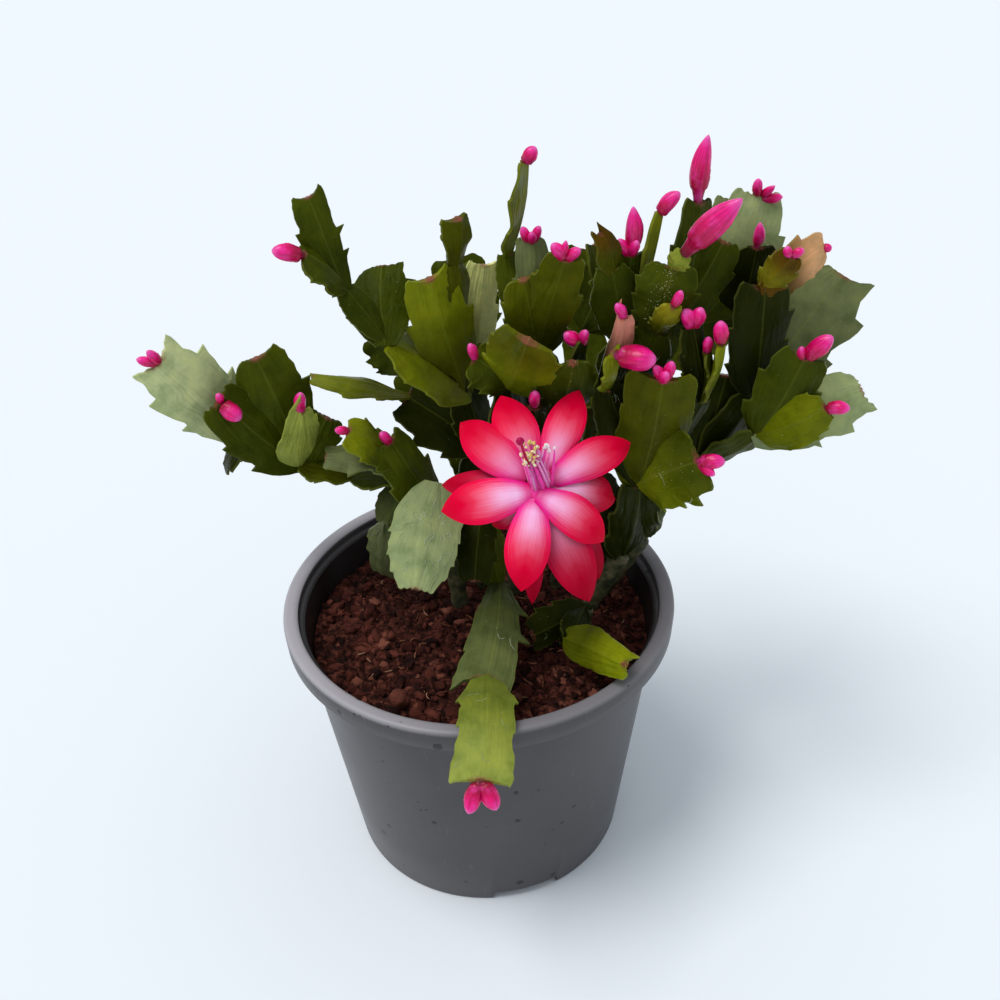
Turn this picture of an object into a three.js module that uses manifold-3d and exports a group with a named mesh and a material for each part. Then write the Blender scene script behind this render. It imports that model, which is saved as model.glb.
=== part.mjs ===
// A potted christmas cactus: a thin plastic nursery pot, its soil, arching stems of flat toothed
// pads, bunches of pink buds and one open flower.
// Millimetres, +Z up. The origin is the middle of the pot's base, and -Y is the front.
import * as THREE from 'three';
import { mergeVertices } from 'three/addons/utils/BufferGeometryUtils.js';
import Module from 'manifold-3d';

const wasm = await Module();
wasm.setup();

// Pot
const POT_HEIGHT = 90;
const RIM_RADIUS = 60;
const RIM_INNER_RADIUS = 54.8;
const RIM_BAND = 7;
const FOOT_RADIUS = 44.2;
const WALL_TOP_RADIUS = 55;
const WALL = 1.4;
const FLOOR_LIFT = 2.5;
const FOOT_RING_WIDTH = 4;
const CENTRE_PAD_RADIUS = 14;
const POT_SIDES = 30;
const DRAIN_HOLES = 6;
const DRAIN_HOLE_RADIUS = 4.5;
const DRAIN_CIRCLE_RADIUS = 29;
const NOTCH_ANGLES = [-79, 41, 161];
const NOTCH_WIDTH = 21;

// Soil
const SOIL_LEVEL = 77.6;
const SOIL_RINGS = 4;
const SOIL_SIDES = 20;
const SOIL_RELIEF = 0.84;
const CRUMBS = 8;
const CRUMB_RADIUS = 2.6;
const CRUMB_REACH = 46;
const CRUMB_SINK = 0.4;

// Fits and plant tissue
const GAP = 0.3;
const ROOT_DEPTH = 14;
const ROOT_RADIUS = 2.6;
const HOLE_FLARE = 2.2;
const STALK_SIDES = 5;
const STALK_THICKNESS = 0.7;
const PAD_MIDRIB = 2.8;
const PAD_EDGE = 1;
const PAD_SINK = 2;
const PAD_CUP = 0.07;
const TOOTHED_WIDTH = 16;
const BROAD_WIDTH = 14;
const BUD_SIDES = 5;
const SMALL_BUD = 3.3;
const SMALLEST_EDGE = 0.15;

// The way the flat faces look when a pad isn't turned: to the front and upwards.
const FRONT = new THREE.Vector3(0, -0.83, 0.56).normalize();
const UP = new THREE.Vector3(0, 0, 1);

// Each stem: where it enters the soil, then its segments.
// A segment is its name, what it grows from, its tip, its width and its turn about its own length
// in degrees. Segments named in STALKS are round and woody, and the others are flat pads.
const STEMS = {
  stem_left: {
    root: [-6, 10],
    segments: [
      ['left_foot', 'root', [-8, 12, 102], 6, 0],
      ['left_knee', 'left_foot', [-17, 14, 124], 9, 30],
      ['left_low', 'left_foot', [-11, 4, 126], 13, 0],
      ['left_front', 'left_low', [-18, -18, 106], 20, 0],
      ['left_hang', 'left_knee', [-27, 8, 111], 13, 10],
      ['left_hang_tip', 'left_hang', [-30, 16, 87], 12, 20],
      ['left_neck', 'left_knee', [-22, 13, 131], 7, 20],
      ['left_arm', 'left_knee', [-36, 18, 123], 14, 60],
      ['left_elbow', 'left_arm', [-52, 20, 127], 13, 50],
      ['left_grey', 'left_neck', [-43, 12, 134], 13, 45],
      ['left_inner', 'left_neck', [-35, 10, 144], 14, 40],
      ['left_between', 'left_elbow', [-42, 22, 142], 15, 20],
      ['left_young', 'left_elbow', [-48, 12, 150], 13, 40],
      ['left_lower', 'left_elbow', [-71, 12, 155], 18, 10],
      ['left_dark', 'left_elbow', [-60, 20, 164], 21, 10],
      ['left_reach', 'left_elbow', [-65, 24, 137], 14, 20],
      ['left_end', 'left_reach', [-85, 10, 169], 21, 0],
      ['left_drop', 'left_reach', [-76, 28, 123], 12, 50],
      ['left_broad', 'left_foot', [-24, 12, 139], 16, 30],
    ],
  },
  stem_upper_left: {
    root: [2, 20],
    segments: [
      ['upper_foot', 'root', [2, 21, 104], 6, 0],
      ['upper_first', 'upper_foot', [3, 22, 129], 15, 20],
      ['upper_joint', 'upper_first', [-1, 20, 149], 14, 25],
      ['upper_bright', 'upper_joint', [-9, 12, 189], 18, 5],
      ['upper_folded', 'upper_joint', [-22, 10, 172], 16, 40],
      ['upper_link', 'upper_folded', [-32, 14, 186], 9, 20],
      ['upper_tall', 'upper_link', [-39, 17, 211], 12, 10],
      ['upper_edge', 'upper_link', [-41, 9, 198], 12, 50],
      ['upper_dark', 'upper_folded', [-22, 26, 187], 17, 0],
      ['upper_side', 'upper_first', [-19, 28, 144], 20, 20],
      ['upper_blade', 'upper_side', [-46, 26, 153], 16, 68],
      ['upper_back', 'upper_joint', [-1, 20, 171], 14, 30],
      ['upper_grey', 'upper_back', [-2, 16, 191], 10, 50],
      ['upper_wedge', 'upper_grey', [0, 12, 205], 12, 50],
      ['upper_pale', 'upper_joint', [6, 27, 186], 14, 30],
    ],
  },
  stem_centre: {
    root: [12, 14],
    segments: [
      ['centre_foot', 'root', [13, 15, 104], 6, 0],
      ['centre_first', 'centre_foot', [13, 14, 130], 13, 20],
      ['centre_flowering', 'centre_foot', [17, 1, 122], 13, 0],
      ['centre_second', 'centre_first', [11, 5, 159], 15, 30],
      ['centre_face', 'centre_second', [16, -12, 181], 20, 0],
      ['centre_spiky', 'centre_second', [2, 4, 168], 14, 10],
      ['centre_hidden', 'centre_first', [18, -4, 157], 14, 30],
      ['centre_rising', 'centre_first', [24, 4, 146], 16, 20],
      ['centre_brown_tip', 'centre_rising', [28, -6, 171], 17, 20],
      ['centre_upright', 'centre_first', [20, 13, 164], 18, 30],
      ['centre_dull', 'centre_upright', [16, 8, 189], 15, 0],
      ['centre_grey', 'centre_upright', [19, 18, 196], 11, 0],
      ['centre_step', 'centre_upright', [13, 26, 189], 11, 10],
      ['centre_blade', 'centre_step', [18, 22, 216], 14, 80],
      ['centre_crowned', 'centre_upright', [27, 2, 197], 14, 0],
      ['centre_thin', 'centre_rising', [32, 2, 173], 10, 70],
    ],
  },
  stem_top_right: {
    root: [26, 18],
    segments: [
      ['top_foot', 'root', [30, 17, 104], 6, 0],
      ['top_first', 'top_foot', [36, 16, 130], 13, 20],
      ['top_second', 'top_first', [44, 14, 152], 15, 40],
      ['top_middle', 'top_second', [43, 12, 167], 14, 10],
      ['top_green', 'top_middle', [39, 6, 192], 14, 0],
      ['top_bronze', 'top_green', [36, 4, 202], 9, 20],
      ['top_band', 'top_middle', [36, 20, 193], 11, 50],
      ['top_budding', 'top_middle', [45, 10, 194], 13, 0],
      ['top_wand', 'top_middle', [52, 10, 205], 9, 75],
      ['top_toothed', 'top_second', [51, 2, 175], 15, 0],
      ['top_dusty', 'top_toothed', [55, 2, 193], 17, 0],
      ['top_young', 'top_dusty', [57, 0, 197], 6, 0],
      ['top_fork', 'top_second', [58, 16, 168], 14, 30],
      ['top_high', 'top_fork', [63, 14, 206], 12, 30],
      ['top_shade', 'top_fork', [71, 16, 194], 15, 10],
      ['top_right_base', 'top_fork', [79, 24, 167], 14, 20],
      ['top_right', 'top_right_base', [81, 20, 190], 15, 0],
      ['top_far', 'top_right_base', [84, 34, 200], 19, 0],
      ['top_far_side', 'top_right_base', [79, 44, 195], 14, 20],
      ['top_fish_tail', 'top_toothed', [54, -5, 185], 7, 20],
    ],
  },
  stem_right: {
    root: [40, 12],
    segments: [
      ['right_foot', 'root', [51, 10, 99], 7, 60],
      ['right_rise', 'right_foot', [57, 13, 110], 9, 40],
      ['right_first', 'right_rise', [68, 12, 126], 13, 50],
      ['right_second', 'right_first', [83, 6, 138], 13, 60],
      ['right_upper', 'right_second', [92, 0, 166], 18, 0],
      ['right_bright', 'right_second', [98, -6, 153], 15, 10],
      ['right_sage', 'right_second', [113, 8, 150], 19, 0],
      ['right_link', 'right_first', [84, 16, 145], 15, 40],
      ['right_giant', 'right_link', [108, 24, 179], 26, 0],
      ['right_black', 'right_first', [75, 18, 152], 19, 20],
      ['right_deep', 'right_link', [81, 8, 184], 18, 0],
      ['right_olive', 'right_deep', [86, 3, 194], 9, 10],
      ['right_peach', 'right_deep', [98, 14, 191], 14, 35],
    ],
  },
  stem_front_right: {
    root: [34, 4],
    segments: [
      ['front_right_foot', 'root', [44, 4, 98], 6, 0],
      ['front_right_first', 'front_right_foot', [48, 0, 127], 16, 30],
      ['front_right_inner', 'front_right_foot', [36, 8, 124], 16, 10],
      ['front_right_big', 'front_right_first', [52, -8, 166], 20, 0],
      ['front_right_broad', 'front_right_first', [62, -14, 143], 23, 0],
      ['front_right_hang', 'front_right_first', [50, 6, 104], 13, 20],
      ['front_right_rise', 'front_right_first', [38, 1, 159], 14, 10],
      ['front_right_light', 'front_right_rise', [39, -6, 173], 10, 60],
      ['front_right_crumpled', 'front_right_rise', [42, -3, 182], 9, 0],
      ['front_right_stand', 'front_right_first', [65, 1, 154], 12, 50],
      ['front_right_blade', 'front_right_stand', [67, -7, 175], 13, 80],
      ['front_right_sliver', 'front_right_stand', [64, -4, 171], 8, 80],
      ['front_right_twin', 'front_right_stand', [59.5, -2, 178], 10, 20],
    ],
  },
  stem_front: {
    root: [6, 0],
    segments: [
      ['front_foot', 'root', [6, -2, 94], 6, 0],
      ['front_first', 'front_foot', [1, -42, 92], 19, 0],
      ['front_over_rim', 'front_first', [-2, -73, 86], 20, 0],
      ['front_riser', 'front_foot', [2, 4, 116], 11, 20],
      ['front_shade', 'front_riser', [-1, -9, 101], 12, 0],
    ],
  },
  stem_low: {
    root: [30, -6],
    segments: [
      ['low_foot', 'root', [32, -6, 86], 6, 0],
      ['low_left', 'low_foot', [15, -16, 85], 13, 0],
      ['low_right_base', 'low_foot', [26, -22, 88], 9, 10],
      ['low_right', 'low_right_base', [39, -45, 98], 15, 0],
    ],
  },
  stem_back_left: {
    root: [4, 32],
    segments: [
      ['back_left_foot', 'root', [2, 36, 102], 6, 0],
      ['back_left_first', 'back_left_foot', [-4, 44, 124], 14, 20],
      ['back_left_second', 'back_left_first', [-20, 54, 140], 17, 160],
      ['back_left_end', 'back_left_second', [-28, 60, 150], 18, 150],
      ['back_left_inner', 'back_left_first', [4, 60, 146], 17, 190],
      ['back_left_out', 'back_left_inner', [-2, 75, 168], 21, 180],
      ['back_left_up', 'back_left_inner', [-2, 56, 172], 17, 200],
    ],
  },
  stem_back_right: {
    root: [26, 32],
    segments: [
      ['back_right_foot', 'root', [32, 36, 102], 6, 0],
      ['back_right_first', 'back_right_foot', [42, 44, 124], 17, 160],
      ['back_right_second', 'back_right_first', [60, 52, 142], 17, 200],
      ['back_right_end', 'back_right_second', [82, 56, 149], 19, 190],
      ['back_right_inner', 'back_right_first', [38, 62, 146], 17, 170],
      ['back_right_out', 'back_right_inner', [42, 77, 168], 21, 180],
      ['back_right_up', 'back_right_inner', [48, 58, 174], 18, 160],
    ],
  },
};

// The pads that arch, and how far the middle of each stands above the straight line.
const ARCHED = { front_over_rim: 5, front_first: 3, left_front: 3 };

const STALKS = [
  'left_foot', 'upper_foot', 'centre_foot', 'top_foot', 'right_foot', 'front_right_foot',
  'front_foot', 'low_foot', 'back_left_foot', 'back_right_foot',
];

// Each bunch of buds: the pad that it stands on, then the tip and the thickness of each bud.
const BUD_BUNCHES = {
  buds_left_end: ['left_end', [[[-90, 8, 171], 2.8], [[-86, 7, 174], 2.8]]],
  buds_left_lower: ['left_lower', [[[-64, 8, 150], 5], [[-70, 10, 158], 2.4]]],
  buds_left_young: ['left_young', [[[-47, 11, 157], 3.4]]],
  buds_left_inner: ['left_inner', [[[-39, 9, 145], 2.6]]],
  buds_left_broad: ['left_broad', [[[-26, 10, 143], 3]]],
  buds_upper_edge: ['upper_edge', [[[-49, 6, 201], 4.6]]],
  buds_centre_spiky: ['centre_spiky', [[[1, 2, 174], 2.8]]],
  buds_centre_blade: ['centre_blade', [[[21, 21, 220], 3.8]]],
  buds_centre_grey: ['centre_grey', [[[16, 17, 201], 2.8], [[22, 17, 201], 2.8], [[19, 14, 200], 2.6]]],
  buds_centre_crowned: ['centre_crowned', [[[22, 1, 203], 3.8], [[27, 1, 204], 2.6], [[32, 0, 201], 3.2]]],
  buds_centre_thin: ['centre_thin', [[[26, 1, 176], 4], [[32, -2, 178], 2.8]]],
  buds_centre_hidden: ['centre_hidden', [[[18, -6, 163], 3]]],
  buds_top_budding: ['top_budding', [[[45, 9, 208], 5], [[41, 8, 199], 3], [[46, 6, 199], 2.8]]],
  buds_top_wand: ['top_wand', [[[57, 8, 211], 4]]],
  buds_top_dusty: ['top_young', [[[70, -8, 215], 7.4]]],
  buds_top_high: ['top_high', [[[64, 12, 225], 5.6]]],
  buds_top_right: ['top_right', [[[81, 18, 198], 3.4]]],
  buds_top_far: ['top_far', [[[83, 32, 205], 2.8], [[91, 32, 199], 2.8], [[88, 31, 203], 2.4]]],
  buds_right_olive: ['right_olive', [[[84, 2, 197], 2.4], [[89, 2, 196], 2.4]]],
  buds_right_peach: ['right_peach', [[[100, 13, 191.5], 2.4]]],
  buds_right_upper: ['right_upper', [[[98, -4, 174], 5], [[90, -2, 170], 2.4]]],
  buds_right_bright: ['right_bright', [[[104, -9, 154], 3.8]]],
  buds_front_right_big: [
    'front_right_big', [[[49, -10, 171], 2.8], [[54, -10, 172], 3.2], [[52, -13, 170], 3]],
  ],
  buds_front_right_light: ['front_right_light', [[[50, -12, 173], 6.6]]],
  buds_front_right_crumpled: ['front_right_crumpled', [[[39, -5, 187], 3]]],
  buds_top_fish_tail: ['top_fish_tail', [[[56, -6, 190], 2.6]]],
  buds_front_right_twin: ['front_right_twin', [[[57, -5, 184], 4], [[62, -4, 184], 4]]],
  buds_front_right_blade: ['front_right_blade', [[[66, -8, 182], 4]]],
  buds_front_right_sliver: ['front_right_sliver', [[[64, -5, 176], 2.8]]],
  buds_front_right_broad: ['front_right_broad', [[[69, -17, 144], 4.2], [[66, -18, 140], 2.8]]],
  buds_front_over_rim: ['front_over_rim', [[[-7, -79, 77], 5], [[3, -79, 78], 5.2]]],
};

// Flower: it stands on the tip of its pad and opens to the front.
const FLOWER_PAD = 'centre_flowering';
const MOUTH = new THREE.Vector3(18, -24, 145);
const MOUTH_RADIUS = 5.2;
const MOUTH_DEPTH = 7;
const TUBE_FOOT_RADIUS = 2.2;
const TUBE_SIDES = 8;
const PETAL_MIDDLE = 1.6;
const PETAL_EDGE = 0.8;
const PETAL_BULGE = 4;
const PETAL_CUP = 1.5;
const PETAL_SEAT_INSET = 0.9;
const PETAL_SEAT_TAPER = 0.14;
const PETAL_SEAT_DEPTH = 1.5;
const PETAL_SEAT_STEP = 0.7;
const STAMENS = 7;
const STAMEN_LENGTH = 15;
const BUNDLE_RADIUS = 1.1;
const FILAMENT_RADIUS = 0.55;
const ANTHER_RADIUS = 0.9;
const ANTHER_SPREAD = 1.4;
const ANTHER_SCATTER = 1.4;
const STYLE_RADIUS = 0.6;
const STYLE_LENGTH = 25;
const STIGMA_RADIUS = 1.6;

// Seen from the front, as across and up from the mouth's middle: where the stamens rise from and
// lean to, the middle of their anthers, the foot of the style and its stigma.
const BUNDLE_FOOT = [0, 0.4];
const BUNDLE_TOP = [-0.6, 3];
const ANTHERS_MIDDLE = [-2, 8.2];
const STYLE_FOOT = [0, -1.8];
const STIGMA_PLACE = [-6, 8];

// Petal tips as seen from the front, measured from the mouth's middle: across, up, back and width.
const PETALS = [
  [-27, -5, 2, 12], [-7.5, -28, 2, 12], [15.5, -15.5, 3, 11], [25, 10, 4, 10], [21, -3, 9, 10],
  [-20, 19, 3, 12], [-8.5, 25, 2, 12], [12, 25, 2, 10],
  [-26.5, 3.5, 9, 9], [-14, -9, 10, 9], [11, -31.5, 10, 13], [14, -25.5, 14, 11], [-4.5, -30.5, 12, 9],
];

const COLOURS = {
  pot: 0x55565a,
  soil: 0x3d1f15,
  pad: 0x46560f,
  bud: 0xe0207f,
  petal: 0xe8164f,
  stamen: 0xf4dfa8,
  pistil: 0xa80f3a,
};

// Shared helpers

// A closed geometry as a solid that can be joined and cut.
function solidOf(geometry) {
  const bare = geometry.index ? geometry.clone() : geometry;
  bare.deleteAttribute('normal');
  bare.deleteAttribute('uv');
  const merged = mergeVertices(bare, 1e-4);
  return new wasm.Manifold(new wasm.Mesh({
    numProp: 3,
    vertProperties: new Float32Array(merged.attributes.position.array),
    triVerts: new Uint32Array(merged.index.array),
  }));
}

// A solid built straight from its corner points and its triangles.
function solidFrom(points, triangles) {
  const geometry = new THREE.BufferGeometry();
  geometry.setAttribute('position', new THREE.Float32BufferAttribute(points.flatMap((p) => p.toArray()), 3));
  geometry.setIndex(triangles.flat());
  return solidOf(geometry);
}

function meshOf(name, solid, colour, roughness) {
  const { vertProperties, triVerts } = solid.simplify(SMALLEST_EDGE).getMesh();
  const geometry = new THREE.BufferGeometry();
  geometry.setAttribute('position', new THREE.BufferAttribute(new Float32Array(vertProperties), 3));
  geometry.setIndex(new THREE.BufferAttribute(new Uint32Array(triVerts), 1));
  geometry.computeVertexNormals();
  const material = new THREE.MeshStandardMaterial({ color: colour, roughness, metalness: 0 });
  const mesh = new THREE.Mesh(geometry, material);
  mesh.name = name;
  return mesh;
}

const join = (solids) => wasm.Manifold.union(solids);
const vector = (xyz) => new THREE.Vector3(...xyz);

// A fixed sequence of numbers between 0 and 1, the same on every run.
function seeded(seed) {
  let state = seed;
  return () => {
    state = (state * 16807) % 2147483647;
    return state / 2147483647;
  };
}

// Moves a geometry that stands along +Y so that it runs from one point towards another.
function alongPoints(geometry, from, to) {
  const direction = to.clone().sub(from).normalize();
  geometry.applyQuaternion(new THREE.Quaternion().setFromUnitVectors(new THREE.Vector3(0, 1, 0), direction));
  return geometry.translate(from.x, from.y, from.z);
}

// Turns a lathe's profile, given as radius and height pairs along +Y, upright along +Z.
function latheUpright(profile, sides) {
  const points = profile.map(([radius, height]) => new THREE.Vector2(radius, height));
  return new THREE.LatheGeometry(points, sides).rotateX(Math.PI / 2);
}

// Pot

function potProfile() {
  const bandBottom = POT_HEIGHT - RIM_BAND;
  const floorTop = FLOOR_LIFT + WALL;
  const ringInner = FOOT_RADIUS - FOOT_RING_WIDTH;
  return [
    [0, 0], [CENTRE_PAD_RADIUS, 0], [CENTRE_PAD_RADIUS + 2, FLOOR_LIFT],
    [ringInner - 1, FLOOR_LIFT], [ringInner, 0], [FOOT_RADIUS, 0],
    [WALL_TOP_RADIUS, POT_HEIGHT - 2 * WALL], [RIM_RADIUS - WALL, POT_HEIGHT - 3 * WALL],
    [RIM_RADIUS - WALL, bandBottom], [RIM_RADIUS - 0.3, bandBottom],
    [RIM_RADIUS, POT_HEIGHT - 1], [RIM_RADIUS - 1, POT_HEIGHT],
    [RIM_INNER_RADIUS, POT_HEIGHT], [wallInnerRadius(POT_HEIGHT - 5), POT_HEIGHT - 5],
    [wallInnerRadius(floorTop), floorTop], [CENTRE_PAD_RADIUS + 1, floorTop],
    [CENTRE_PAD_RADIUS - 1, WALL], [0, WALL],
  ];
}

function wallInnerRadius(height) {
  return FOOT_RADIUS + (WALL_TOP_RADIUS - FOOT_RADIUS) * height / (POT_HEIGHT - 2 * WALL) - WALL;
}

function potSolid() {
  let pot = solidOf(latheUpright(potProfile(), POT_SIDES));
  for (let i = 0; i < DRAIN_HOLES; i += 1) {
    const angle = (2 * Math.PI * (i + 0.5)) / DRAIN_HOLES;
    const hole = new THREE.CylinderGeometry(DRAIN_HOLE_RADIUS, DRAIN_HOLE_RADIUS, 4 * WALL, 8);
    hole.rotateX(Math.PI / 2);
    hole.translate(DRAIN_CIRCLE_RADIUS * Math.cos(angle), DRAIN_CIRCLE_RADIUS * Math.sin(angle), FLOOR_LIFT);
    pot = pot.subtract(solidOf(hole));
  }
  for (const degrees of NOTCH_ANGLES) {
    const notch = new THREE.BoxGeometry(4 * FOOT_RING_WIDTH, NOTCH_WIDTH, 2 * FLOOR_LIFT);
    notch.translate(FOOT_RADIUS, 0, 0);
    notch.rotateZ(THREE.MathUtils.degToRad(degrees));
    pot = pot.subtract(solidOf(notch));
  }
  return pot;
}

// Soil

// The height of the soil's surface: a few long, low waves.
function soilHeight(x, y) {
  const waves = Math.sin(x * 0.19 + 1.3) * Math.cos(y * 0.16) + 0.6 * Math.sin(x * 0.41 - y * 0.33);
  return SOIL_LEVEL + SOIL_RELIEF * waves;
}

function soilBody() {
  const points = [new THREE.Vector3(0, 0, soilHeight(0, 0))];
  const triangles = [];
  const topRadius = wallInnerRadius(SOIL_LEVEL - 2) - GAP;
  const bottom = FLOOR_LIFT + WALL + GAP;
  const around = (radius, height) => {
    for (let i = 0; i < SOIL_SIDES; i += 1) {
      const angle = (2 * Math.PI * i) / SOIL_SIDES;
      const [x, y] = [radius * Math.cos(angle), radius * Math.sin(angle)];
      points.push(new THREE.Vector3(x, y, height ?? soilHeight(x, y)));
    }
  };
  for (let ring = 1; ring <= SOIL_RINGS; ring += 1) {
    around((topRadius * ring) / SOIL_RINGS);
  }
  around(wallInnerRadius(bottom) - GAP, bottom);
  points.push(new THREE.Vector3(0, 0, bottom));
  const last = points.length - 1;
  for (let i = 0; i < SOIL_SIDES; i += 1) {
    const next = (i + 1) % SOIL_SIDES;
    triangles.push([0, 1 + i, 1 + next]);
    for (let ring = 0; ring < SOIL_RINGS; ring += 1) {
      const [a, b] = [1 + ring * SOIL_SIDES, 1 + (ring + 1) * SOIL_SIDES];
      triangles.push([a + i, b + i, b + next], [a + i, b + next, a + next]);
    }
    const rim = 1 + SOIL_RINGS * SOIL_SIDES;
    triangles.push([last, rim + next, rim + i]);
  }
  return solidFrom(points, triangles);
}

// Crumbs of bark and peat, half sunk in the surface.
function soilCrumbs() {
  const random = seeded(41);
  const crumbs = [];
  for (let i = 0; i < CRUMBS; i += 1) {
    const reach = CRUMB_REACH * Math.sqrt(random());
    const angle = 2 * Math.PI * random();
    const [x, y] = [reach * Math.cos(angle), reach * Math.sin(angle)];
    const crumb = new THREE.IcosahedronGeometry(CRUMB_RADIUS * (0.6 + 0.7 * random()), 0);
    crumb.scale(1, 0.7 + 0.5 * random(), 0.7);
    crumb.rotateZ(Math.PI * random());
    crumb.translate(x, y, soilHeight(x, y) - CRUMB_SINK);
    crumbs.push(solidOf(crumb));
  }
  return crumbs;
}

// A plain hole for each stem, a little deeper than its buried foot and wider towards the surface.
function stemHole([x, y]) {
  const [mouth, end] = [ROOT_RADIUS + HOLE_FLARE, ROOT_RADIUS + GAP];
  const hole = new THREE.CylinderGeometry(mouth, end, 2 * ROOT_DEPTH, STALK_SIDES);
  hole.rotateX(Math.PI / 2);
  return solidOf(hole.translate(x, y, SOIL_LEVEL + PAD_SINK - GAP));
}

function soilSolid() {
  const holes = Object.values(STEMS).map((stem) => stemHole(stem.root));
  return join([soilBody(), ...soilCrumbs()]).subtract(join(holes));
}

// Leafy stems

// Half of a pad's outline after its pointed base, up to its blunt tip: how far along, how far out.
const BROAD_HALF = [[0.09, 0.58], [0.31, 0.95], [0.37, 0.86], [0.66, 1], [0.72, 0.87], [1.05, 0.68]];
const BROAD_MIDDLE = [0, 0.5, 0.98];

// Narrow pads have one tooth on each side below the two at the tip.
const NARROW_HALF = [[0.12, 0.6], [0.52, 1], [0.6, 0.86], [1.05, 0.68]];
const NARROW_MIDDLE = [0, 0.5, 0.98];

// Older pads that carry others have worn, nearly plain edges.
const PLAIN_HALF = [[0.2, 0.6], [0.65, 1], [0.97, 0.5]];
const PLAIN_MIDDLE = [0, 0.55, 1];

// Half of a petal's outline, and its middle line.
const PETAL_HALF = [[0, 0.4], [0.34, 0.9], [0.68, 0.92]];
const PETAL_LINE = [0, 0.34, 0.68, 1];

// Triangles between the middle line and one side of the outline, from the base to the tip.
function stitch(middle, side, middleAt, sideAt, flip) {
  const triangles = [];
  let [m, s] = [0, 0];
  while (m < middle.length - 1 || s < side.length - 1) {
    const sideNext = s < side.length - 1 && (m === middle.length - 1 || m === middle.length - 2
      || side[s + 1][0] <= middle[m + 1]);
    const corner = sideNext ? sideAt(s + 1) : middleAt(m + 1);
    triangles.push(flip ? [middleAt(m), corner, sideAt(s)] : [middleAt(m), sideAt(s), corner]);
    if (sideNext) s += 1;
    else m += 1;
  }
  return triangles;
}

// A thin leaf-like blade: a flat outline with a thick middle line, bent by the given place function,
// which turns along, across and thickness shares into a point. Both faces share their triangles.
function bladeSolid(half, middle, place) {
  const points = [];
  const rows = { middle: [[], []], right: [[], []], left: [[], []] };
  for (const face of [0, 1]) {
    const side = face ? 1 : -1;
    const add = (along, across) => points.push(place(along, across, side)) - 1;
    middle.forEach((along) => rows.middle[face].push(add(along, 0)));
    half.forEach(([along, across]) => rows.right[face].push(add(along, across)));
    half.forEach(([along, across]) => rows.left[face].push(add(along, -across)));
  }
  const triangles = [];
  for (const face of [0, 1]) {
    const at = (row) => (i) => rows[row][face][i];
    triangles.push(...stitch(middle, half, at('middle'), at('right'), face === 0));
    triangles.push(...stitch(middle, half, at('middle'), at('left'), face === 1));
  }
  const loop = (face) => [
    rows.middle[face][0], ...rows.right[face], rows.middle[face].at(-1), ...[...rows.left[face]].reverse(),
  ];
  const [below, above] = [loop(0), loop(1)];
  below.forEach((point, i) => {
    const next = (i + 1) % below.length;
    triangles.push([point, below[next], above[next]], [point, above[next], above[i]]);
  });
  const solid = solidFrom(points, triangles);
  return solid.volume() > 0 ? solid : solidFrom(points, triangles.map(([a, b, c]) => [a, c, b]));
}

// The three directions of a pad: along it, across it and out of its flat face.
function padDirections(from, to, turn) {
  const along = to.clone().sub(from).normalize();
  const facing = Math.abs(along.dot(FRONT)) > 0.95 ? UP : FRONT;
  const face = facing.clone().addScaledVector(along, -facing.dot(along)).normalize();
  face.applyAxisAngle(along, THREE.MathUtils.degToRad(turn));
  return { along, face, across: along.clone().cross(face) };
}

function padOutline(width, toothed) {
  if (!toothed) return [PLAIN_HALF, PLAIN_MIDDLE];
  return width < BROAD_WIDTH ? [NARROW_HALF, NARROW_MIDDLE] : [BROAD_HALF, BROAD_MIDDLE];
}

// A flat pad with toothed edges. A clearance makes it fatter all round, to cut what touches it.
function padSolid({ from, to, width, turn, arch, toothed }, clearance = 0) {
  const { along, face, across } = padDirections(from, to, turn);
  const length = from.distanceTo(to);
  const start = -PAD_SINK / length;
  const [half, middle] = padOutline(width, toothed);
  return bladeSolid(half, middle, (u, v, side) => {
    const share = u === 0 ? start : u;
    const thickness = (Math.abs(v) > 0 ? PAD_EDGE : PAD_MIDRIB) / 2 + clearance;
    const stretch = 1 + (2 * clearance) / width;
    return from.clone()
      .addScaledVector(along, share * length + (u > 0.9 ? clearance : 0))
      .addScaledVector(across, (v * stretch * width) / 2)
      .addScaledVector(face, side * thickness - PAD_CUP * width * v * v + arch * Math.sin(Math.PI * u));
  });
}

// A round woody segment, a little flatter than wide.
function stalkSolid(from, to, width) {
  const length = from.distanceTo(to) + PAD_SINK;
  const stalk = new THREE.CylinderGeometry(width / 2, ROOT_RADIUS, length, STALK_SIDES);
  stalk.scale(1, 1, STALK_THICKNESS);
  return solidOf(alongPoints(stalk.translate(0, length / 2, 0), from, to));
}

function buriedFoot([x, y]) {
  const foot = new THREE.CylinderGeometry(ROOT_RADIUS, ROOT_RADIUS, ROOT_DEPTH, STALK_SIDES);
  foot.rotateX(Math.PI / 2);
  return solidOf(foot.translate(x, y, SOIL_LEVEL - ROOT_DEPTH / 2 + PAD_SINK));
}

// Where every segment of a stem begins and ends.
function stemPlaces({ root, segments }) {
  const places = { root: { to: new THREE.Vector3(root[0], root[1], SOIL_LEVEL) } };
  for (const [name, parent, tip, width, turn] of segments) {
    const carries = segments.some(([, other]) => other === name);
    const toothed = !carries || width >= TOOTHED_WIDTH;
    const arch = ARCHED[name] ?? 1;
    places[name] = { from: places[parent].to, to: vector(tip), width, turn, toothed, arch };
  }
  return places;
}

function stemSolid(stem) {
  const places = stemPlaces(stem);
  const pieces = stem.segments.map(([name]) => {
    const place = places[name];
    return STALKS.includes(name) ? stalkSolid(place.from, place.to, place.width) : padSolid(place);
  });
  return join([buriedFoot(stem.root), ...pieces]);
}

// Finds a pad by its name in any stem.
function padPlace(name) {
  const stem = Object.values(STEMS).find(({ segments }) => segments.some(([segment]) => segment === name));
  return stemPlaces(stem)[name];
}

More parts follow.
